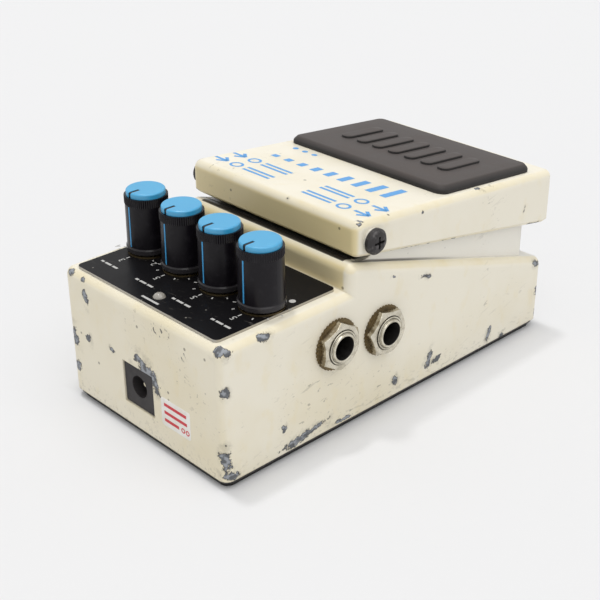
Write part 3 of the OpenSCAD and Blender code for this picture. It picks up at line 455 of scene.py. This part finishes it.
# Tan boxes: faint yellowing over the rear face, and on the ridge's rear face under the treadle's lip a strong
# tan that is partly yellowing and partly painted shade
body_tan_and_shade = [((-40, -70, 0), (40, -63, 39), 0.14), ((-40, -24, 40), (31, -18, 47.4), 0.7)]
body_scores = [((5.5, -70, 34.2), (13.6, -63, 38.4)), ((16.2, -70, 31.4), (19.8, -63, 35.4))]
body_enamel = cream_enamel("body_enamel", body_knocks, body_tan_and_shade, body_scores, kicked=9,
                           pale=inner_walls, black=lip_hollow, worn=far_side)
dress(body_enamel, "enclosure", "battery_block")


# Control panel
# A printed aluminium plate laid on the deck: gloss black ink on its face, bright metal at its sheared edge.
# Dust, crumbs and hairline scratches lie on the ink.
panel_ink, place = finish("panel_ink", IOR=1.45, Specular_IOR_Level=0.12)
edge = abs(place.node("NewGeometry", out="Normal").axis("Z")).step(0.8, 0.4)
dust = place.noise(2600, 5).step(0.66, 0.74) * place.noise(60, 3).step(0.45, 0.65)
crumb = place.specks(330, outer=0.11, inner=0.05, spared=0.8)
hairline = place.drawn_out((1, 0.3, 0), 9).noise(1800, 2).step(0.66, 0.72)
hairline = hairline * place.noise(45, 2).step(0.45, 0.6)
face = (0.35 * dust + 0.3 * hairline + 0.8 * crumb).mix(srgb(17, 16, 18), srgb(140, 136, 128))
feed(panel_ink, Base_Color=edge.mix(face, srgb(176, 172, 164)), Metallic=edge * 0.9,
     Roughness=0.26 + 0.2 * place.noise(120, 4) + 0.2 * dust,
     Normal=bump(place.noise(900, 2), depth=0.01, strength=0.4))
dress(panel_ink, "control_panel")


# Panel print
# White ink screened on the panel: dial ticks and plain numbers round the controls, a row of dashes behind
# each, a bar at the check light and a dot by the last control.
def box_mm(node):
    """The lowest and the highest corner of a CAD node, in millimetres."""
    return np.array(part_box(node)) / mm


ink_t = 0.04
knob_names = ["mode", "time", "feedback", "level"]
knob_boxes = {name: box_mm(name + "_knob") for name in knob_names}
knob_at = {name: box.mean(0) for name, box in knob_boxes.items()}


class Sheet:
    """A flat place to print on: its middle, its two directions and the side that faces out."""

    def __init__(self, middle, across, along):
        self.middle, self.across, self.along = (np.array(v, float) for v in (middle, across, along))
        self.out = np.cross(self.across, self.along)

    def at(self, flat, height):
        """Points in space of flat points (across, along), so far above the sheet."""
        flat = np.asarray(flat, float)
        return self.middle + flat[..., :1] * self.across + flat[..., 1:] * self.along + height * self.out

    def stroke(self, path, width):
        """A closed bar of ink: a rectangle, width by ink thickness, carried along a flat path."""
        path = np.asarray(path, float)
        along = np.gradient(path, axis=0)
        along /= np.linalg.norm(along, axis=1, keepdims=True)
        side = np.stack([-along[:, 1], along[:, 0]], 1) * width / 2
        ring = np.stack([self.at(path + side, 0), self.at(path + side, ink_t),
                         self.at(path - side, ink_t), self.at(path - side, 0)], 1)
        ends = [np.repeat(self.at(path[[i]], ink_t / 2)[None], 4, 1) for i in (0, -1)]
        return np.concatenate([ends[0], ring, ends[1]])

    def dot(self, middle, outer, inner=0.0):
        """A closed disc or ring of ink: a rectangle turned about its middle."""
        sides = 40
        turn = np.linspace(0, 2 * np.pi, sides, endpoint=False)
        round_it = np.stack([np.cos(turn), np.sin(turn)], 1)
        rows = [(inner, 0), (outer, 0), (outer, ink_t), (inner, ink_t), (inner, 0)]
        return np.stack([self.at(np.asarray(middle) + r * round_it, h) for r, h in rows])

    def arrow(self, tail, tip, width, head):
        """Three strokes: a shaft and two barbs that slope back from the tip."""
        barb_spread = 0.75
        tail, tip = np.array(tail, float), np.array(tip, float)
        way = (tip - tail) / np.linalg.norm(tip - tail)
        side = np.array([-way[1], way[0]])
        barbs = [tip - way * head + side * s * head * barb_spread for s in (1, -1)]
        return [self.stroke([tail, tip - way * width / 2], width), self.stroke([barbs[0], tip], width),
                self.stroke([barbs[1], tip], width)]


def printed_number(text, sheet, middle, size):
    """The mesh of a plain number: a flat text turned to a mesh and laid on a sheet."""
    curve = bpy.data.curves.new("number", "FONT")
    curve.body = text
    curve.size = size
    curve.extrude = ink_t / 2
    curve.align_x = "CENTER"
    curve.align_y = "CENTER"
    curve.resolution_u = 3
    holder = bpy.data.objects.new("number", curve)
    mesh = bpy.data.meshes.new_from_object(holder)
    flat = np.empty(len(mesh.vertices) * 3)
    mesh.vertices.foreach_get("co", flat)
    flat = flat.reshape(-1, 3)
    turned = np.asarray(middle) - flat[:, :2]
    space = sheet.at(turned, 0) + (flat[:, 2:] + ink_t / 2) * sheet.out
    mesh.vertices.foreach_set("co", (space * mm).ravel())
    bpy.data.objects.remove(holder)
    bpy.data.curves.remove(curve)
    return mesh


def shade(colour, times, plus=0.0):
    """The colour made so many times as light, with alpha 1."""
    return tuple(times * c + plus for c in colour[:3]) + (1.0,)


def print_ink(name, colour, worn):
    """Flat screen ink, thinned and broken where it is worn."""
    material, place = finish(name, Specular_IOR_Level=0.3)
    gone = place.noise(1500, 4).step(0.6, 0.72) * worn
    feed(material, Base_Color=gone.mix(colour, shade(colour, 0.35)), Roughness=0.5 + 0.1 * place.noise(800))
    return material


def join_meshes(piece, meshes):
    """Adds meshes to a piece's own mesh."""
    shell = bmesh.new()
    shell.from_mesh(piece.data)
    for mesh in meshes:
        shell.from_mesh(mesh)
        bpy.data.meshes.remove(mesh)
    shell.to_mesh(piece.data)
    shell.free()


panel_top = box_mm("control_panel")[1, 2]
panel_sheet = Sheet((0, 0, panel_top), (1, 0, 0), (0, 1, 0))
tick_in, tick_out, tick_w, tick_longer = 6.9, 7.7, 0.36, 0.2
number_r, number_size = 9.3, 2.7
sweep = {"mode": 120, "time": 150, "feedback": 150, "level": 150}
tick_count = {"mode": 5, "time": 11, "feedback": 11, "level": 11}
panel_bar_w = 0.7
light_bar_half, light_bar_back = 3.4, 2.9
panel_dot_at, panel_dot_r = (26.6, -35.6), 0.9
dash_back = 13.4
dash_starts, dash_lengths = (-3.6, -1.8, 1.4), (1.2, 2.6, 2.2)
marks, numbers = [], []
for name in knob_names:
    middle, last = knob_at[name][:2], tick_count[name] - 1
    for i, turn in enumerate(np.radians(np.linspace(-sweep[name], sweep[name], last + 1))):
        way = np.array([-np.sin(turn), -np.cos(turn)])
        longer = tick_longer if i in (0, tick_count[name] // 2, last) else 0
        # The panel's dot stands in for the last control's first tick
        if name == "level" and i == 0:
            continue
        tick = [middle + way * (tick_in - longer), middle + way * (tick_out + longer)]
        marks.append(panel_sheet.stroke(tick, tick_w))
        if name == "mode" or longer:
            value = i + 1 if name == "mode" else i
            numbers.append((str(value), middle + way * number_r))
light_at = box_mm("check_led").mean(0)[:2]
light_bar = [light_at + (-light_bar_half, -light_bar_back), light_at + (light_bar_half, -light_bar_back)]
marks.append(panel_sheet.stroke(light_bar, panel_bar_w))
marks.append(panel_sheet.dot(panel_dot_at, panel_dot_r))
for name in knob_names:
    row = knob_at[name][:2] - (0, dash_back)
    marks += [panel_sheet.stroke([row + (x, 0), row + (x + length, 0)], panel_bar_w)
              for x, length in zip(dash_starts, dash_lengths)]
panel_print = surface("panel_print", marks)
join_meshes(panel_print, [printed_number(text, panel_sheet, at, number_size) for text, at in numbers])
panel_print.data.materials.append(print_ink("white_ink", srgb(190, 189, 186), worn=0.45))
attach(panel_print, "enclosure")


# Base plate
# A sheet-steel cover, painted dark, that closes the casting from below. Four blackened cross-head screws hold
# it to posts inside.
def dark_metal(name, colour, metallic, rough):
    """Blackened or painted steel: grey rubbed places where the black is thin."""
    material, place = finish(name)
    edge_r = 0.15
    rub = place.noise(700, 4).step(0.48, 0.7)
    soft = place.node("Bevel", {"samples": 4}, {"Radius": edge_r * mm})
    feed(material, Base_Color=rub.mix(colour, shade(colour, 2.2, plus=0.01)), Metallic=metallic + 0.2 * rub,
         Roughness=rough - 0.12 * rub, Normal=bump(place.noise(2400, 3), 0.02, 0.5, soft))
    return material


dress(dark_metal("base_paint", srgb(58, 56, 56), metallic=0.3, rough=0.55), "base_plate")
dress(dark_metal("black_screws", srgb(50, 49, 50), metallic=0.6, rough=0.45), "base_screws")


# Base rubber
# A moulded rubber sheet glued under the base plate, so that the pedal doesn't slide. Its edges are slightly
# rounded.
def rounded_box(half_x, half_y, corner, inset):
    """Flat points round a rectangle with round corners, drawn in by inset: four quarter circles in turn."""
    sides, least_r = 14, 0.05
    radius = max(corner - inset, least_r)
    quarter = np.linspace(0, np.pi / 2, sides)
    turn = np.concatenate([quarter + k * np.pi / 2 for k in range(4)])
    centre_x = np.repeat([1, -1, -1, 1], sides) * (half_x - inset - radius)
    centre_y = np.repeat([1, 1, -1, -1], sides) * (half_y - inset - radius)
    return np.stack([centre_x + radius * np.cos(turn), centre_y + radius * np.sin(turn)], 1)


def slab(sheet, half_x, half_y, corner, profile):
    """A closed slab: a round-cornered outline drawn in and lifted by each (inset, height) of a profile.

    The first and the last outline shrink to the middle in a few steps, which closes both faces.
    """
    shrink = [0.0, 0.25, 0.5, 0.75]
    sides = [(rounded_box(half_x, half_y, corner, inset), height) for inset, height in profile]
    (first, low), (last, high) = sides[0], sides[-1]
    rows = [(first * s, low) for s in shrink] + sides + [(last * s, high) for s in shrink[::-1]]
    return np.stack([sheet.at(flat, height) for flat, height in rows])


def rubber(name, colour, grain):
    """Matt black rubber with a moulded grain and a grey bloom on its worn top. Its top is painted lighter
    than its sides, a painted sheen, and its sides far blacker, a painted shade.
    """
    material, place = finish(name, Specular_IOR_Level=0.45, Sheen_Weight=0.06, Sheen_Roughness=0.5)
    bloom = place.noise(110, 5).step(0.4, 0.75)
    worn_top = bloom.mix(colour, shade(colour, 1.35))
    # Painted sheen and shade: faces that don't face up get a far blacker colour than the top
    top = place.node("TexCoord", out="Normal").axis("Z").step(0.5, 0.97)
    feed(material, Base_Color=top.mix(shade(colour, 0.18), worn_top), Roughness=0.62 + 0.15 * bloom,
         Normal=bump(place.noise(grain, 3), depth=0.05, strength=0.5))
    return material


rubber_low, rubber_high = box_mm("base_rubber")
rubber_sheet = Sheet((rubber_low + rubber_high) / 2 * (1, 1, 0), (1, 0, 0), (0, 1, 0))
rubber_half = (rubber_high - rubber_low) / 2
rubber_t = rubber_high[2]
rubber_corner = 2.4
rubber_edge = [(0.3, 0), (0.08, 0.08), (0, 0.3)]
rubber_edge += [(inset, rubber_t - height) for inset, height in rubber_edge[::-1]]
base_rubber = surface("base_sheet", [slab(rubber_sheet, *rubber_half[:2], rubber_corner, rubber_edge)])
base_rubber.data.materials.append(rubber("base_rubber_black", srgb(44, 42, 42), grain=2600))
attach(base_rubber, "enclosure")
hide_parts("base_rubber")


# Treadle
# A cast foot plate in the same enamel, hinged at its rear. Its skirts' lower edges are nicked all along, and
# its corners are worn by shoes.
treadle_rear = box_mm("treadle")[0, 1]
treadle_pitch = np.radians(5.32)
treadle_rear_top = 59.0
skirt_rear, skirt_front = (-19.2, 49.1), (64.5, 35.0)
treadle_knocks = [
    ((32.0, -18.0, 58.4), (0.3, 0.9, -0.1), 0.6), ((31.4, -16.6, 58.6), (0.5, 0.5, -0.1), 0.3),
    ((31.8, -6.5, 57.6), (0.4, 0.2, 0), 0.3), ((33, 5.9, 54.8), (0, 0.3, 0.2), 0.35),
    ((32.8, 8.6, 55.6), (0, 0.3, 0.2), 0.4), ((33, 51.2, 42.5), (0, 0.2, 0.7), 0.3),
    ((-31.8, -16.0, 58.2), (0.3, 1.2, -0.1), 0.6), ((-31.4, -19.2, 49.6), (1.0, 0, 0.1), 0.6),
    ((32.8, -17.8, 48.6), (0, 0.8, 0.2), 0.6), ((31.4, 30.6, 54.2), (0.2, 1.1, -0.1), 0.5),
    ((6.8, -18.6, 58.4), (0.5, 0.1, 0), 0.3), ((-32.8, 44.0, 40.0), (0, 0.9, 0.4), 0.5),
    ((18.0, 64.3, 44.0), (0.8, 0, 0.6), 0.6), ((-25.0, 64.0, 50.0), (1.2, 0, 0.2), 0.6),
]


def skirt_edge(place):
    """Mask of the broken nicks within half a millimetre of the skirts' sloping lower edge."""
    fall = (skirt_front[1] - skirt_rear[1]) / (skirt_front[0] - skirt_rear[0])
    above_edge = place.axis("Z") - fall * place.axis("Y") - (skirt_rear[1] - fall * skirt_rear[0]) * mm
    return above_edge.step_mm(0.55, 0.2) * place.noise(330, 4).step(0.56, 0.61)


# Tan box on the lip's rear face, which faces the knobs: partly yellowing and partly painted shade
treadle_tan_and_shade = [((-40, -30, 40), (40, -17.8, 57.6), 0.8)]
dress(cream_enamel("treadle_enamel", treadle_knocks, treadle_tan_and_shade, nicked=skirt_edge), "treadle")


# Treadle print
# Pale blue ink screened on the foot plate behind the pad: arrows in at the left and out at the right, and a
# row of bars that shrink like a fading echo.
slope = np.array([0, np.cos(treadle_pitch), -np.sin(treadle_pitch)])


def on_treadle(y):
    """A sheet on the foot plate's sloping top with its middle at a distance along the pedal."""
    top = treadle_rear_top - (y - treadle_rear) * np.tan(treadle_pitch)
    return Sheet((0, y, top), (1, 0, 0), slope)


print_y = -2.0
foot_sheet = on_treadle(print_y)
arrow_rows = (-10.2, -3.4)
arrow_in, arrow_out, arrow_w, arrow_head = 25.2, 30.4, 1.0, 2.7
ring_x, ring_r, ring_hole_r = 21.2, 2.1, 1.35
line_in, line_out, line_lift, line_w = 6.6, 17.4, 1.0, 0.95
echo_count, echo_first, echo_last, echo_w = 9, 9.0, 2.0, 2.3
echo_x, echo_pitch, echo_foot = 21.5, 5.4, 4.2
dots_x, dots_y, dots_r = (-24, -20, -16), 15.4, 0.9
blue_marks = []
for along in arrow_rows:
    blue_marks += foot_sheet.arrow((-arrow_out, along), (-arrow_in, along), arrow_w, arrow_head)
    blue_marks += foot_sheet.arrow((arrow_in, along), (arrow_out, along), arrow_w, arrow_head)
    for side in (-1, 1):
        blue_marks.append(foot_sheet.dot((side * ring_x, along), ring_r, ring_hole_r))
        for y in (along - line_lift, along + line_lift):
            blue_marks.append(foot_sheet.stroke([(side * line_out, y), (side * line_in, y)], line_w))
for i, tall in enumerate(np.geomspace(echo_first, echo_last, echo_count)):
    x = echo_x - echo_pitch * i
    blue_marks.append(foot_sheet.stroke([(x, echo_foot), (x, echo_foot + tall)], echo_w))
blue_marks += [foot_sheet.dot((x, dots_y), dots_r) for x in dots_x]
treadle_print = surface("treadle_print", blue_marks)
treadle_print.data.materials.append(print_ink("blue_ink", srgb(96, 160, 218), worn=0.35))
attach(treadle_print, "treadle")


# Tread pad
# A moulded rubber mat glued on the foot plate's front, with bevelled edges and seven raised grip bars. Each
# edge is a profile of points: how far in from the outline, and how high.
pad_low, pad_high = box_mm("tread_pad")
pad_half_x = (pad_high[0] - pad_low[0]) / 2
pad_l, pad_t, pad_corner, pad_setback = 40.7, 2.3, 3.0, 7.4
pad_half_y = pad_l / 2
grip_count, grip_t, grip_space = 7, 0.7, 2.4
grip_side_margin, grip_end_margin = 8, 12
grip_pitch = 2 * (pad_half_x - grip_side_margin) / grip_count
grip_half_x, grip_half_y = (grip_pitch - grip_space) / 2, pad_half_y - grip_end_margin
grip_corner = grip_half_x - 0.05
pad_sheet = on_treadle(skirt_front[0] - pad_setback - pad_half_y)
pad_edge = [(0, 0.02), (0, 0.9), (0.12, 1.15), (1.0, 2.08), (1.3, 2.25), (1.7, pad_t), (6, pad_t)]
grip_edge = [(0, pad_t - 0.5), (0, pad_t + 0.35), (0.12, pad_t + 0.58), (0.4, pad_t + grip_t)]
pad_grids = [slab(pad_sheet, pad_half_x, pad_half_y, pad_corner, pad_edge)]
for i in range(grip_count):
    grip_x = (i - (grip_count - 1) / 2) * grip_pitch
    grip_sheet = Sheet(pad_sheet.at((grip_x, 0), 0), (1, 0, 0), slope)
    pad_grids.append(slab(grip_sheet, grip_half_x, grip_half_y, grip_corner, grip_edge))
tread_pad = surface("tread_mat", pad_grids)
tread_pad.data.materials.append(rubber("pad_rubber_black", srgb(62, 55, 52), grain=1900))
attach(tread_pad, "treadle")
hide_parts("tread_pad")


# Hinge
# Two blackened cross-head shoulder screws pass through nylon bushes in the treadle's skirts and turn into the
# ears of the enclosure's raised block.
def moulded(name, colour, rough, **plain):
    """Plain moulded plastic with a faint flow pattern."""
    material, place = finish(name, **plain)
    flow = place.noise(240, 4).step(0.3, 0.8)
    feed(material, Base_Color=flow.mix(colour, shade(colour, 0.82)), Roughness=rough + 0.1 * flow,
         Normal=bump(place.noise(3000, 2), depth=0.01, strength=0.4))
    return material


dress(dark_metal("hinge_black", srgb(56, 54, 54), metallic=0.55, rough=0.5), "hinge_screws")
white_nylon = moulded("white_nylon", srgb(214, 210, 198), rough=0.45)
dress(white_nylon, "hinge_bushes")


# Return spring
# Seven turns of spring wire in a cup of the raised block, closed at both ends. The coil is drawn short, so
# that it stays clear of the foot plate even when that is pressed down.
spring_low, spring_high = box_mm("return_spring")
spring_wire, spring_turns = 1.0, 7
spring_clear = 0.2
spring_r = (spring_high[0] - spring_low[0] - spring_wire) / 2
spring_y = (spring_low[1] + spring_high[1]) / 2
hinge = next(joint for joint in frame["joints"] if joint["name"] == "treadle_hinge")
press_angle = np.radians(-hinge["range_deg"][0])
press = np.tan(press_angle) * (spring_high[1] - hinge["pos_m"][1] / mm) + spring_clear


def coil(radius, wire, turns, low, high):
    """A closed tube along a helix: a circle in the plane of the outward and the upright directions.

    The helix climbs one wire in its first and its last turn and evenly between them, and the first and last
    circles shrink to points.
    """
    steps, sides = 48, 14
    up = np.array([0, 0, 1])
    angle = np.linspace(0, 2 * np.pi * turns, steps * turns)
    out = np.stack([np.cos(angle), np.sin(angle), 0 * angle], 1)
    climb = high - low - wire
    rise = np.interp(angle / (2 * np.pi), [0, 1, turns - 1, turns], [0, wire, climb - wire, climb])
    line = radius * out + np.outer(low + wire / 2 + rise, up)
    turn = np.linspace(0, 2 * np.pi, sides, endpoint=False)[None, :, None]
    tube = line[:, None] + wire / 2 * (np.cos(turn) * out[:, None] + np.sin(turn) * up)
    ends = [np.repeat(line[None, None, i], sides, 1) for i in (0, -1)]
    return np.concatenate([ends[0], tube, ends[1]])


def bright_metal(name, colour, rough, stain=0.3):
    """Plated or bare metal, dulled in patches."""
    material, place = finish(name)
    dull = place.noise(420, 5).step(0.42, 0.72)
    feed(material, Base_Color=(dull * stain).mix(colour, shade(colour, 0.55)), Metallic=1 - 0.25 * dull,
         Roughness=rough + 0.2 * dull, Normal=bump(place.noise(2600, 3), depth=0.01, strength=0.4))
    return material


spring_grid = coil(spring_r, spring_wire, spring_turns, spring_low[2], spring_high[2] - press)
spring = surface("spring_coil", [spring_grid + (0, spring_y, 0)])
spring.data.materials.append(bright_metal("spring_wire", srgb(176, 174, 170), rough=0.28))
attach(spring, "enclosure")
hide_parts("return_spring")


# Thumbscrew
# A knurled black steel screw in the treadle's front skirt, kept there by a zinc-plated spring clip. Its tip
# goes into a slotted nylon bush in the block, and so keeps the treadle shut over the battery well.
dress(dark_metal("thumbscrew_black", srgb(40, 40, 42), metallic=0.5, rough=0.5), "thumbscrew")
zinc = bright_metal("bright_zinc", srgb(190, 190, 186), rough=0.32)
dress(zinc, "thumbscrew_clip")
dress(white_nylon, "guide_bush")


# Foot switch
# A momentary switch in a black plastic case, on a small board screwed under the block. Its plunger stands
# through the block's top, and the treadle presses it.
black_plastic = moulded("black_plastic", srgb(30, 29, 30), rough=0.42, Specular_IOR_Level=0.25)
dress(black_plastic, "foot_switch", "switch_plunger")
dress(zinc, "switch_screws")


# Knobs
# Black plastic knobs pressed on the shafts: a smoky skirt at the foot, a smooth tapered grip and a ribbed
# ring. A pale blue line runs down the grip below the cap's pointer.
knob_foot, knob_top = knob_boxes["mode"][:, 2]
skirt_h, ring_h = 1.9, 3.7
skirt_top = knob_foot + skirt_h
ring_foot = knob_top - ring_h
knob_plastic, place = finish("knob_plastic", Specular_IOR_Level=0.22)
smoky = place.axis("Z").step_mm(skirt_top + 0.1, skirt_top - 0.2)
wear = place.noise(500, 4).step(0.5, 0.75)
body_black = (0.3 * wear).mix(srgb(18, 15, 20), srgb(42, 40, 44))
feed(knob_plastic, Base_Color=smoky.mix(body_black, srgb(48, 46, 48)),
     Roughness=0.3 + 0.06 * wear - 0.1 * smoky,
     Normal=bump(place.noise(2800, 2), depth=0.004, strength=0.4))
dress(knob_plastic, *[name + "_knob" for name in knob_names])

line_blue = moulded("line_blue", srgb(62, 158, 216), rough=0.4)
pointer_w, pointer_t, pointer_sunk = 0.45, 0.06, 0.2
pointer_gap = 0.2
grip_r_foot, grip_r_head = 5.95, 5.82


def pointer_strip(middle):
    """A closed strip down a knob's grip: a narrow arc of the grip's cone, from under its face to over it.

    Each row runs along the inner arc and back along the outer one, and the first and last rows shrink to
    points.
    """
    up = np.linspace(0, 1, 12)[:, None]
    turn = np.linspace(-1, 1, 5)[None] * pointer_w / 2 / grip_r_foot
    radius = grip_r_foot + (grip_r_head - grip_r_foot) * up
    foot, head = skirt_top + pointer_gap, ring_foot - pointer_gap
    tall = foot + (head - foot) * up + 0 * turn
    skins = [np.stack([(radius + t) * np.sin(turn), -(radius + t) * np.cos(turn), tall], -1)
             for t in (-pointer_sunk, pointer_t)]
    loop = np.concatenate([skins[0], skins[1][:, ::-1]], 1) + middle * (1, 1, 0)
    ends = [np.repeat(loop[i].mean(0)[None, None], loop.shape[1], 1) for i in (0, -1)]
    return np.concatenate([ends[0], loop, ends[1]])


for name in knob_names:
    pointer_line = surface(name + "_line", [pointer_strip(knob_at[name])])
    pointer_line.data.materials.append(line_blue)
    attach(pointer_line, name + "_control")


# Knob caps
# Sky-blue plastic discs snapped into the tops of the knobs, and slotted so that the black pointer shows. They
# are rubbed paler in places.
cap_blue, place = finish("cap_blue_plastic", Specular_IOR_Level=1.0)
rubbed = place.noise(260, 5).step(0.45, 0.75)
feed(cap_blue, Base_Color=(0.25 * rubbed).mix(srgb(50, 158, 206), srgb(104, 182, 218)),
     Roughness=0.36 + 0.12 * rubbed, Normal=bump(place.noise(1500, 3), depth=0.01, strength=0.4))
dress(cap_blue, *[name + "_cap" for name in knob_names])


# Shafts, controls and their nuts
# Steel shafts carry the knobs, out of controls in zinc-plated cases. Brass nuts and washers, browned with
# age, clamp the controls under the deck.
old_brass = bright_metal("old_brass", srgb(104, 90, 64), rough=0.45, stain=0.8)
dress(old_brass, "pot_nuts", "pot_washers")
dress(zinc, *[name + "_shaft" for name in knob_names])
pot_case_zinc = bright_metal("pot_case_zinc", srgb(150, 150, 150), rough=0.4)
dress(pot_case_zinc, "mode_switch", "time_pot", "feedback_pot", "level_pot")


# Audio jacks
# Four black plastic housings with nickel-plated threaded bushes, bevelled at the mouth. Each bush comes out
# through the side wall, and a hex nut and a toothed washer hold it.
bush_end = box_mm("jack_bushings")[1, 0]
bush_r, bore_r, bush_l = 4.7, 3.25, 8.0
thread_pitch, thread_depth = 0.75, 0.28
bush_places = [box_mm(node).mean(0) for node in ("output_a_jack", "output_b_jack")]


def threaded_bush(side, y, z):
    """A turned tube about the X axis whose outer radius dips along a helix.

    The profile runs out along the bore, round the mouth and back along the thread; the thread's depth is a
    triangle wave of the place along the axis less the turn, in pitches, and fades out at the mouth.
    """
    mouth_l, thread_steps, sides = 0.6, 90, 72
    back = np.linspace(bush_l - mouth_l, 0, thread_steps)
    nose = np.array([(-bush_l, 0), (-0.3, 0), (-0.1, 0.06), (0, 0.25), (0, 0.5), (-0.08, 0.66), (-0.25, 0.72),
                     (-0.55, 0.72), (-0.62, 0.85), (-0.62, 1.05), (-0.5, 1.2)])
    along = np.concatenate([bush_l + nose[:, 0], back, [0]])
    radius = np.concatenate([bore_r + nose[:, 1], np.full(len(back), bush_r), [bore_r]])
    cut = np.concatenate([np.zeros(len(nose)), np.clip((bush_l - 0.5 - back) * 2, 0, 1), [0]])
    turn = np.linspace(0, 2 * np.pi, sides, endpoint=False)
    wave = np.abs((along[:, None] / thread_pitch - turn[None] / (2 * np.pi)) % 1 - 0.5) * 2
    wide = radius[:, None] - thread_depth * cut[:, None] * wave
    reach = bush_end - bush_l + along[:, None] + 0 * turn[None]
    return np.stack([side * reach, y + wide * np.cos(turn), z + wide * np.sin(turn)], -1)


def jack_nickel(name):
    """Worn nickel plate, painted near black in the bore, in the grooves round the bush and in the gap at the
    nut, a painted shade, and brown on the nuts' flats, partly tarnish and partly a painted reflection.

    Each place is a range of distances from the nearest jack's axis.
    """
    material, place = finish(name)
    edge_r = 0.3
    groove_in, groove_out = 4.0, 4.34
    gap_in, gap_out = 4.68, 5.0
    reach = None
    for middle in bush_places:
        from_axis = place.node("VectorMath", {"operation": "MULTIPLY_ADD"},
                               {0: place, 1: (0, 1, 1), 2: (0, -middle[1] * mm, -middle[2] * mm)})
        away = place.node("VectorMath", {"operation": "LENGTH"}, {0: from_axis}, out="Value")
        reach = reach.least(away) if reach else away
    outward = abs(place.node("NewGeometry", out="Normal").axis("X"))
    # The flats' brown is partly tarnish and partly a painted reflection of the darker things they face
    flats = outward.step(0.75, 0.45) * reach.step_mm(gap_out - 0.1, gap_out + 0.1)
    bore = reach.step_mm(bore_r + 0.12, bore_r + 0.02)
    groove = reach.step_mm(groove_in, groove_in + 0.12) * reach.step_mm(groove_out, groove_out - 0.12)
    nut_gap = reach.step_mm(gap_in, gap_in + 0.06) * reach.step_mm(gap_out, gap_out - 0.1)
    dull = place.noise(600, 5).step(0.4, 0.7)
    colour = (0.4 * dull).mix(srgb(214, 208, 192), srgb(134, 124, 100))
    colour = (flats * (0.35 + 0.4 * dull)).mix(colour, srgb(112, 96, 68))
    # Painted shade: the bore, the groove round the bush and the gap at the nut get a near-black colour
    crevice_shade = (groove.most(nut_gap) * 0.85).most(bore)
    soft = place.node("Bevel", {"samples": 6}, {"Radius": edge_r * mm})
    feed(material, Base_Color=crevice_shade.mix(colour, srgb(20, 17, 14)), Metallic=1 - 0.8 * crevice_shade,
         Roughness=0.2 + 0.2 * dull + 0.3 * crevice_shade, Normal=bump(place.noise(2600, 3), 0.01, 0.4, soft))
    return material


bush_grids = [threaded_bush(side, y, z) for side in (-1, 1) for _, y, z in bush_places]
bushes = surface("jack_bush_threads", bush_grids, crease=50)
nickel = jack_nickel("nickel_plate")
bushes.data.materials.append(nickel)
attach(bushes, "enclosure")
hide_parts("jack_bushings")
dress(nickel, "jack_nuts")
dress(bright_metal("washer_plate", srgb(118, 103, 76), rough=0.42, stain=0.9), "jack_washers")
dress(black_plastic, "input_a_jack", "input_b_jack", "output_a_jack", "output_b_jack")


# Power jack
# A black moulded socket, snapped into the rear wall a little behind its face. A pale plated centre pin
# stands deep in its bore.
power_black = moulded("power_black_plastic", srgb(50, 47, 48), rough=0.5, Specular_IOR_Level=0.3)
dress(power_black, "dc_jack")
dress(moulded("pin_plate", srgb(250, 240, 212), rough=0.25, Specular_IOR_Level=0.9), "dc_pin")


# Adaptor label
# A white vinyl label with round corners, stuck on the rear face beside the power jack. Plain red rules and
# two rings are printed on it.
label_low, label_high = np.array([8.0, 9.0]), np.array([19.8, 17.3])
label_corner, label_t = 0.8, 0.08
label_edge = [(0, 0), (0, label_t - 0.02), (0.05, label_t)]
rear_y = cad_box[0][1] / mm
label_middle = (label_low + label_high) / 2
label_half = (label_high - label_low) / 2
label_sheet = Sheet((label_middle[0], rear_y, label_middle[1]), (1, 0, 0), (0, 0, 1))
label = surface("adaptor_label", [slab(label_sheet, *label_half, label_corner, label_edge)])
vinyl, place = finish("white_vinyl", Specular_IOR_Level=0.4)
yellowed = place.noise(300, 4).step(0.4, 0.8)
feed(vinyl, Base_Color=yellowed.mix(srgb(240, 238, 234), srgb(226, 222, 212)),
     Roughness=0.4 + 0.1 * place.noise(500))
label.data.materials.append(vinyl)
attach(label, "enclosure")

rule_sheet = Sheet(label_sheet.at((0, 0), label_t), (1, 0, 0), (0, 0, 1))
rule_left, rule_rights, rule_pitch, rule_w = -4.6, (4.4, 4.6, 1.2), 2.3, 0.9
label_rings_x, label_ring_r, label_ring_hole_r = (2.9, 4.7), 0.75, 0.45
rules = [rule_sheet.stroke([(rule_left, row * rule_pitch), (right_end, row * rule_pitch)], rule_w)
         for row, right_end in zip((1, 0, -1), rule_rights)]
rules += [rule_sheet.dot((x, -rule_pitch), label_ring_r, label_ring_hole_r) for x in label_rings_x]
label_rules = surface("label_rules", rules)
label_rules.data.materials.append(print_ink("red_ink", srgb(206, 64, 74), worn=0.4))
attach(label_rules, "enclosure")


# Check light
# A clear plastic lens that stands in the panel, pressed into a black holder under the deck. Unlit, it looks a
# cloudy grey.
lens, place = finish("clear_lens", Coat_Weight=0.6, IOR=1.49)
feed(lens, Base_Color=place.noise(900, 3).mix(srgb(132, 127, 119), srgb(172, 167, 158)),
     Roughness=0.12 + 0.1 * place.noise(400))
dress(lens, "check_led")
dress(black_plastic, "led_holder")


# Boards
# Green glass-fibre boards with paler copper tracks under the lacquer, held by zinc screws. Black chips and
# capacitors stand on the main one.
solder_mask, place = finish("solder_mask", Coat_Weight=0.3)
tracks = place.drawn_out((0, 1, 0), 8).noise(700, 1).step(0.5, 0.53)
feed(solder_mask, Base_Color=(0.5 * tracks).mix(srgb(38, 92, 52), srgb(84, 136, 74)),
     Roughness=0.35 + 0.1 * tracks)
dress(solder_mask, "main_board", "switch_board")
dress(black_plastic, "board_parts")
dress(zinc, "board_screws")
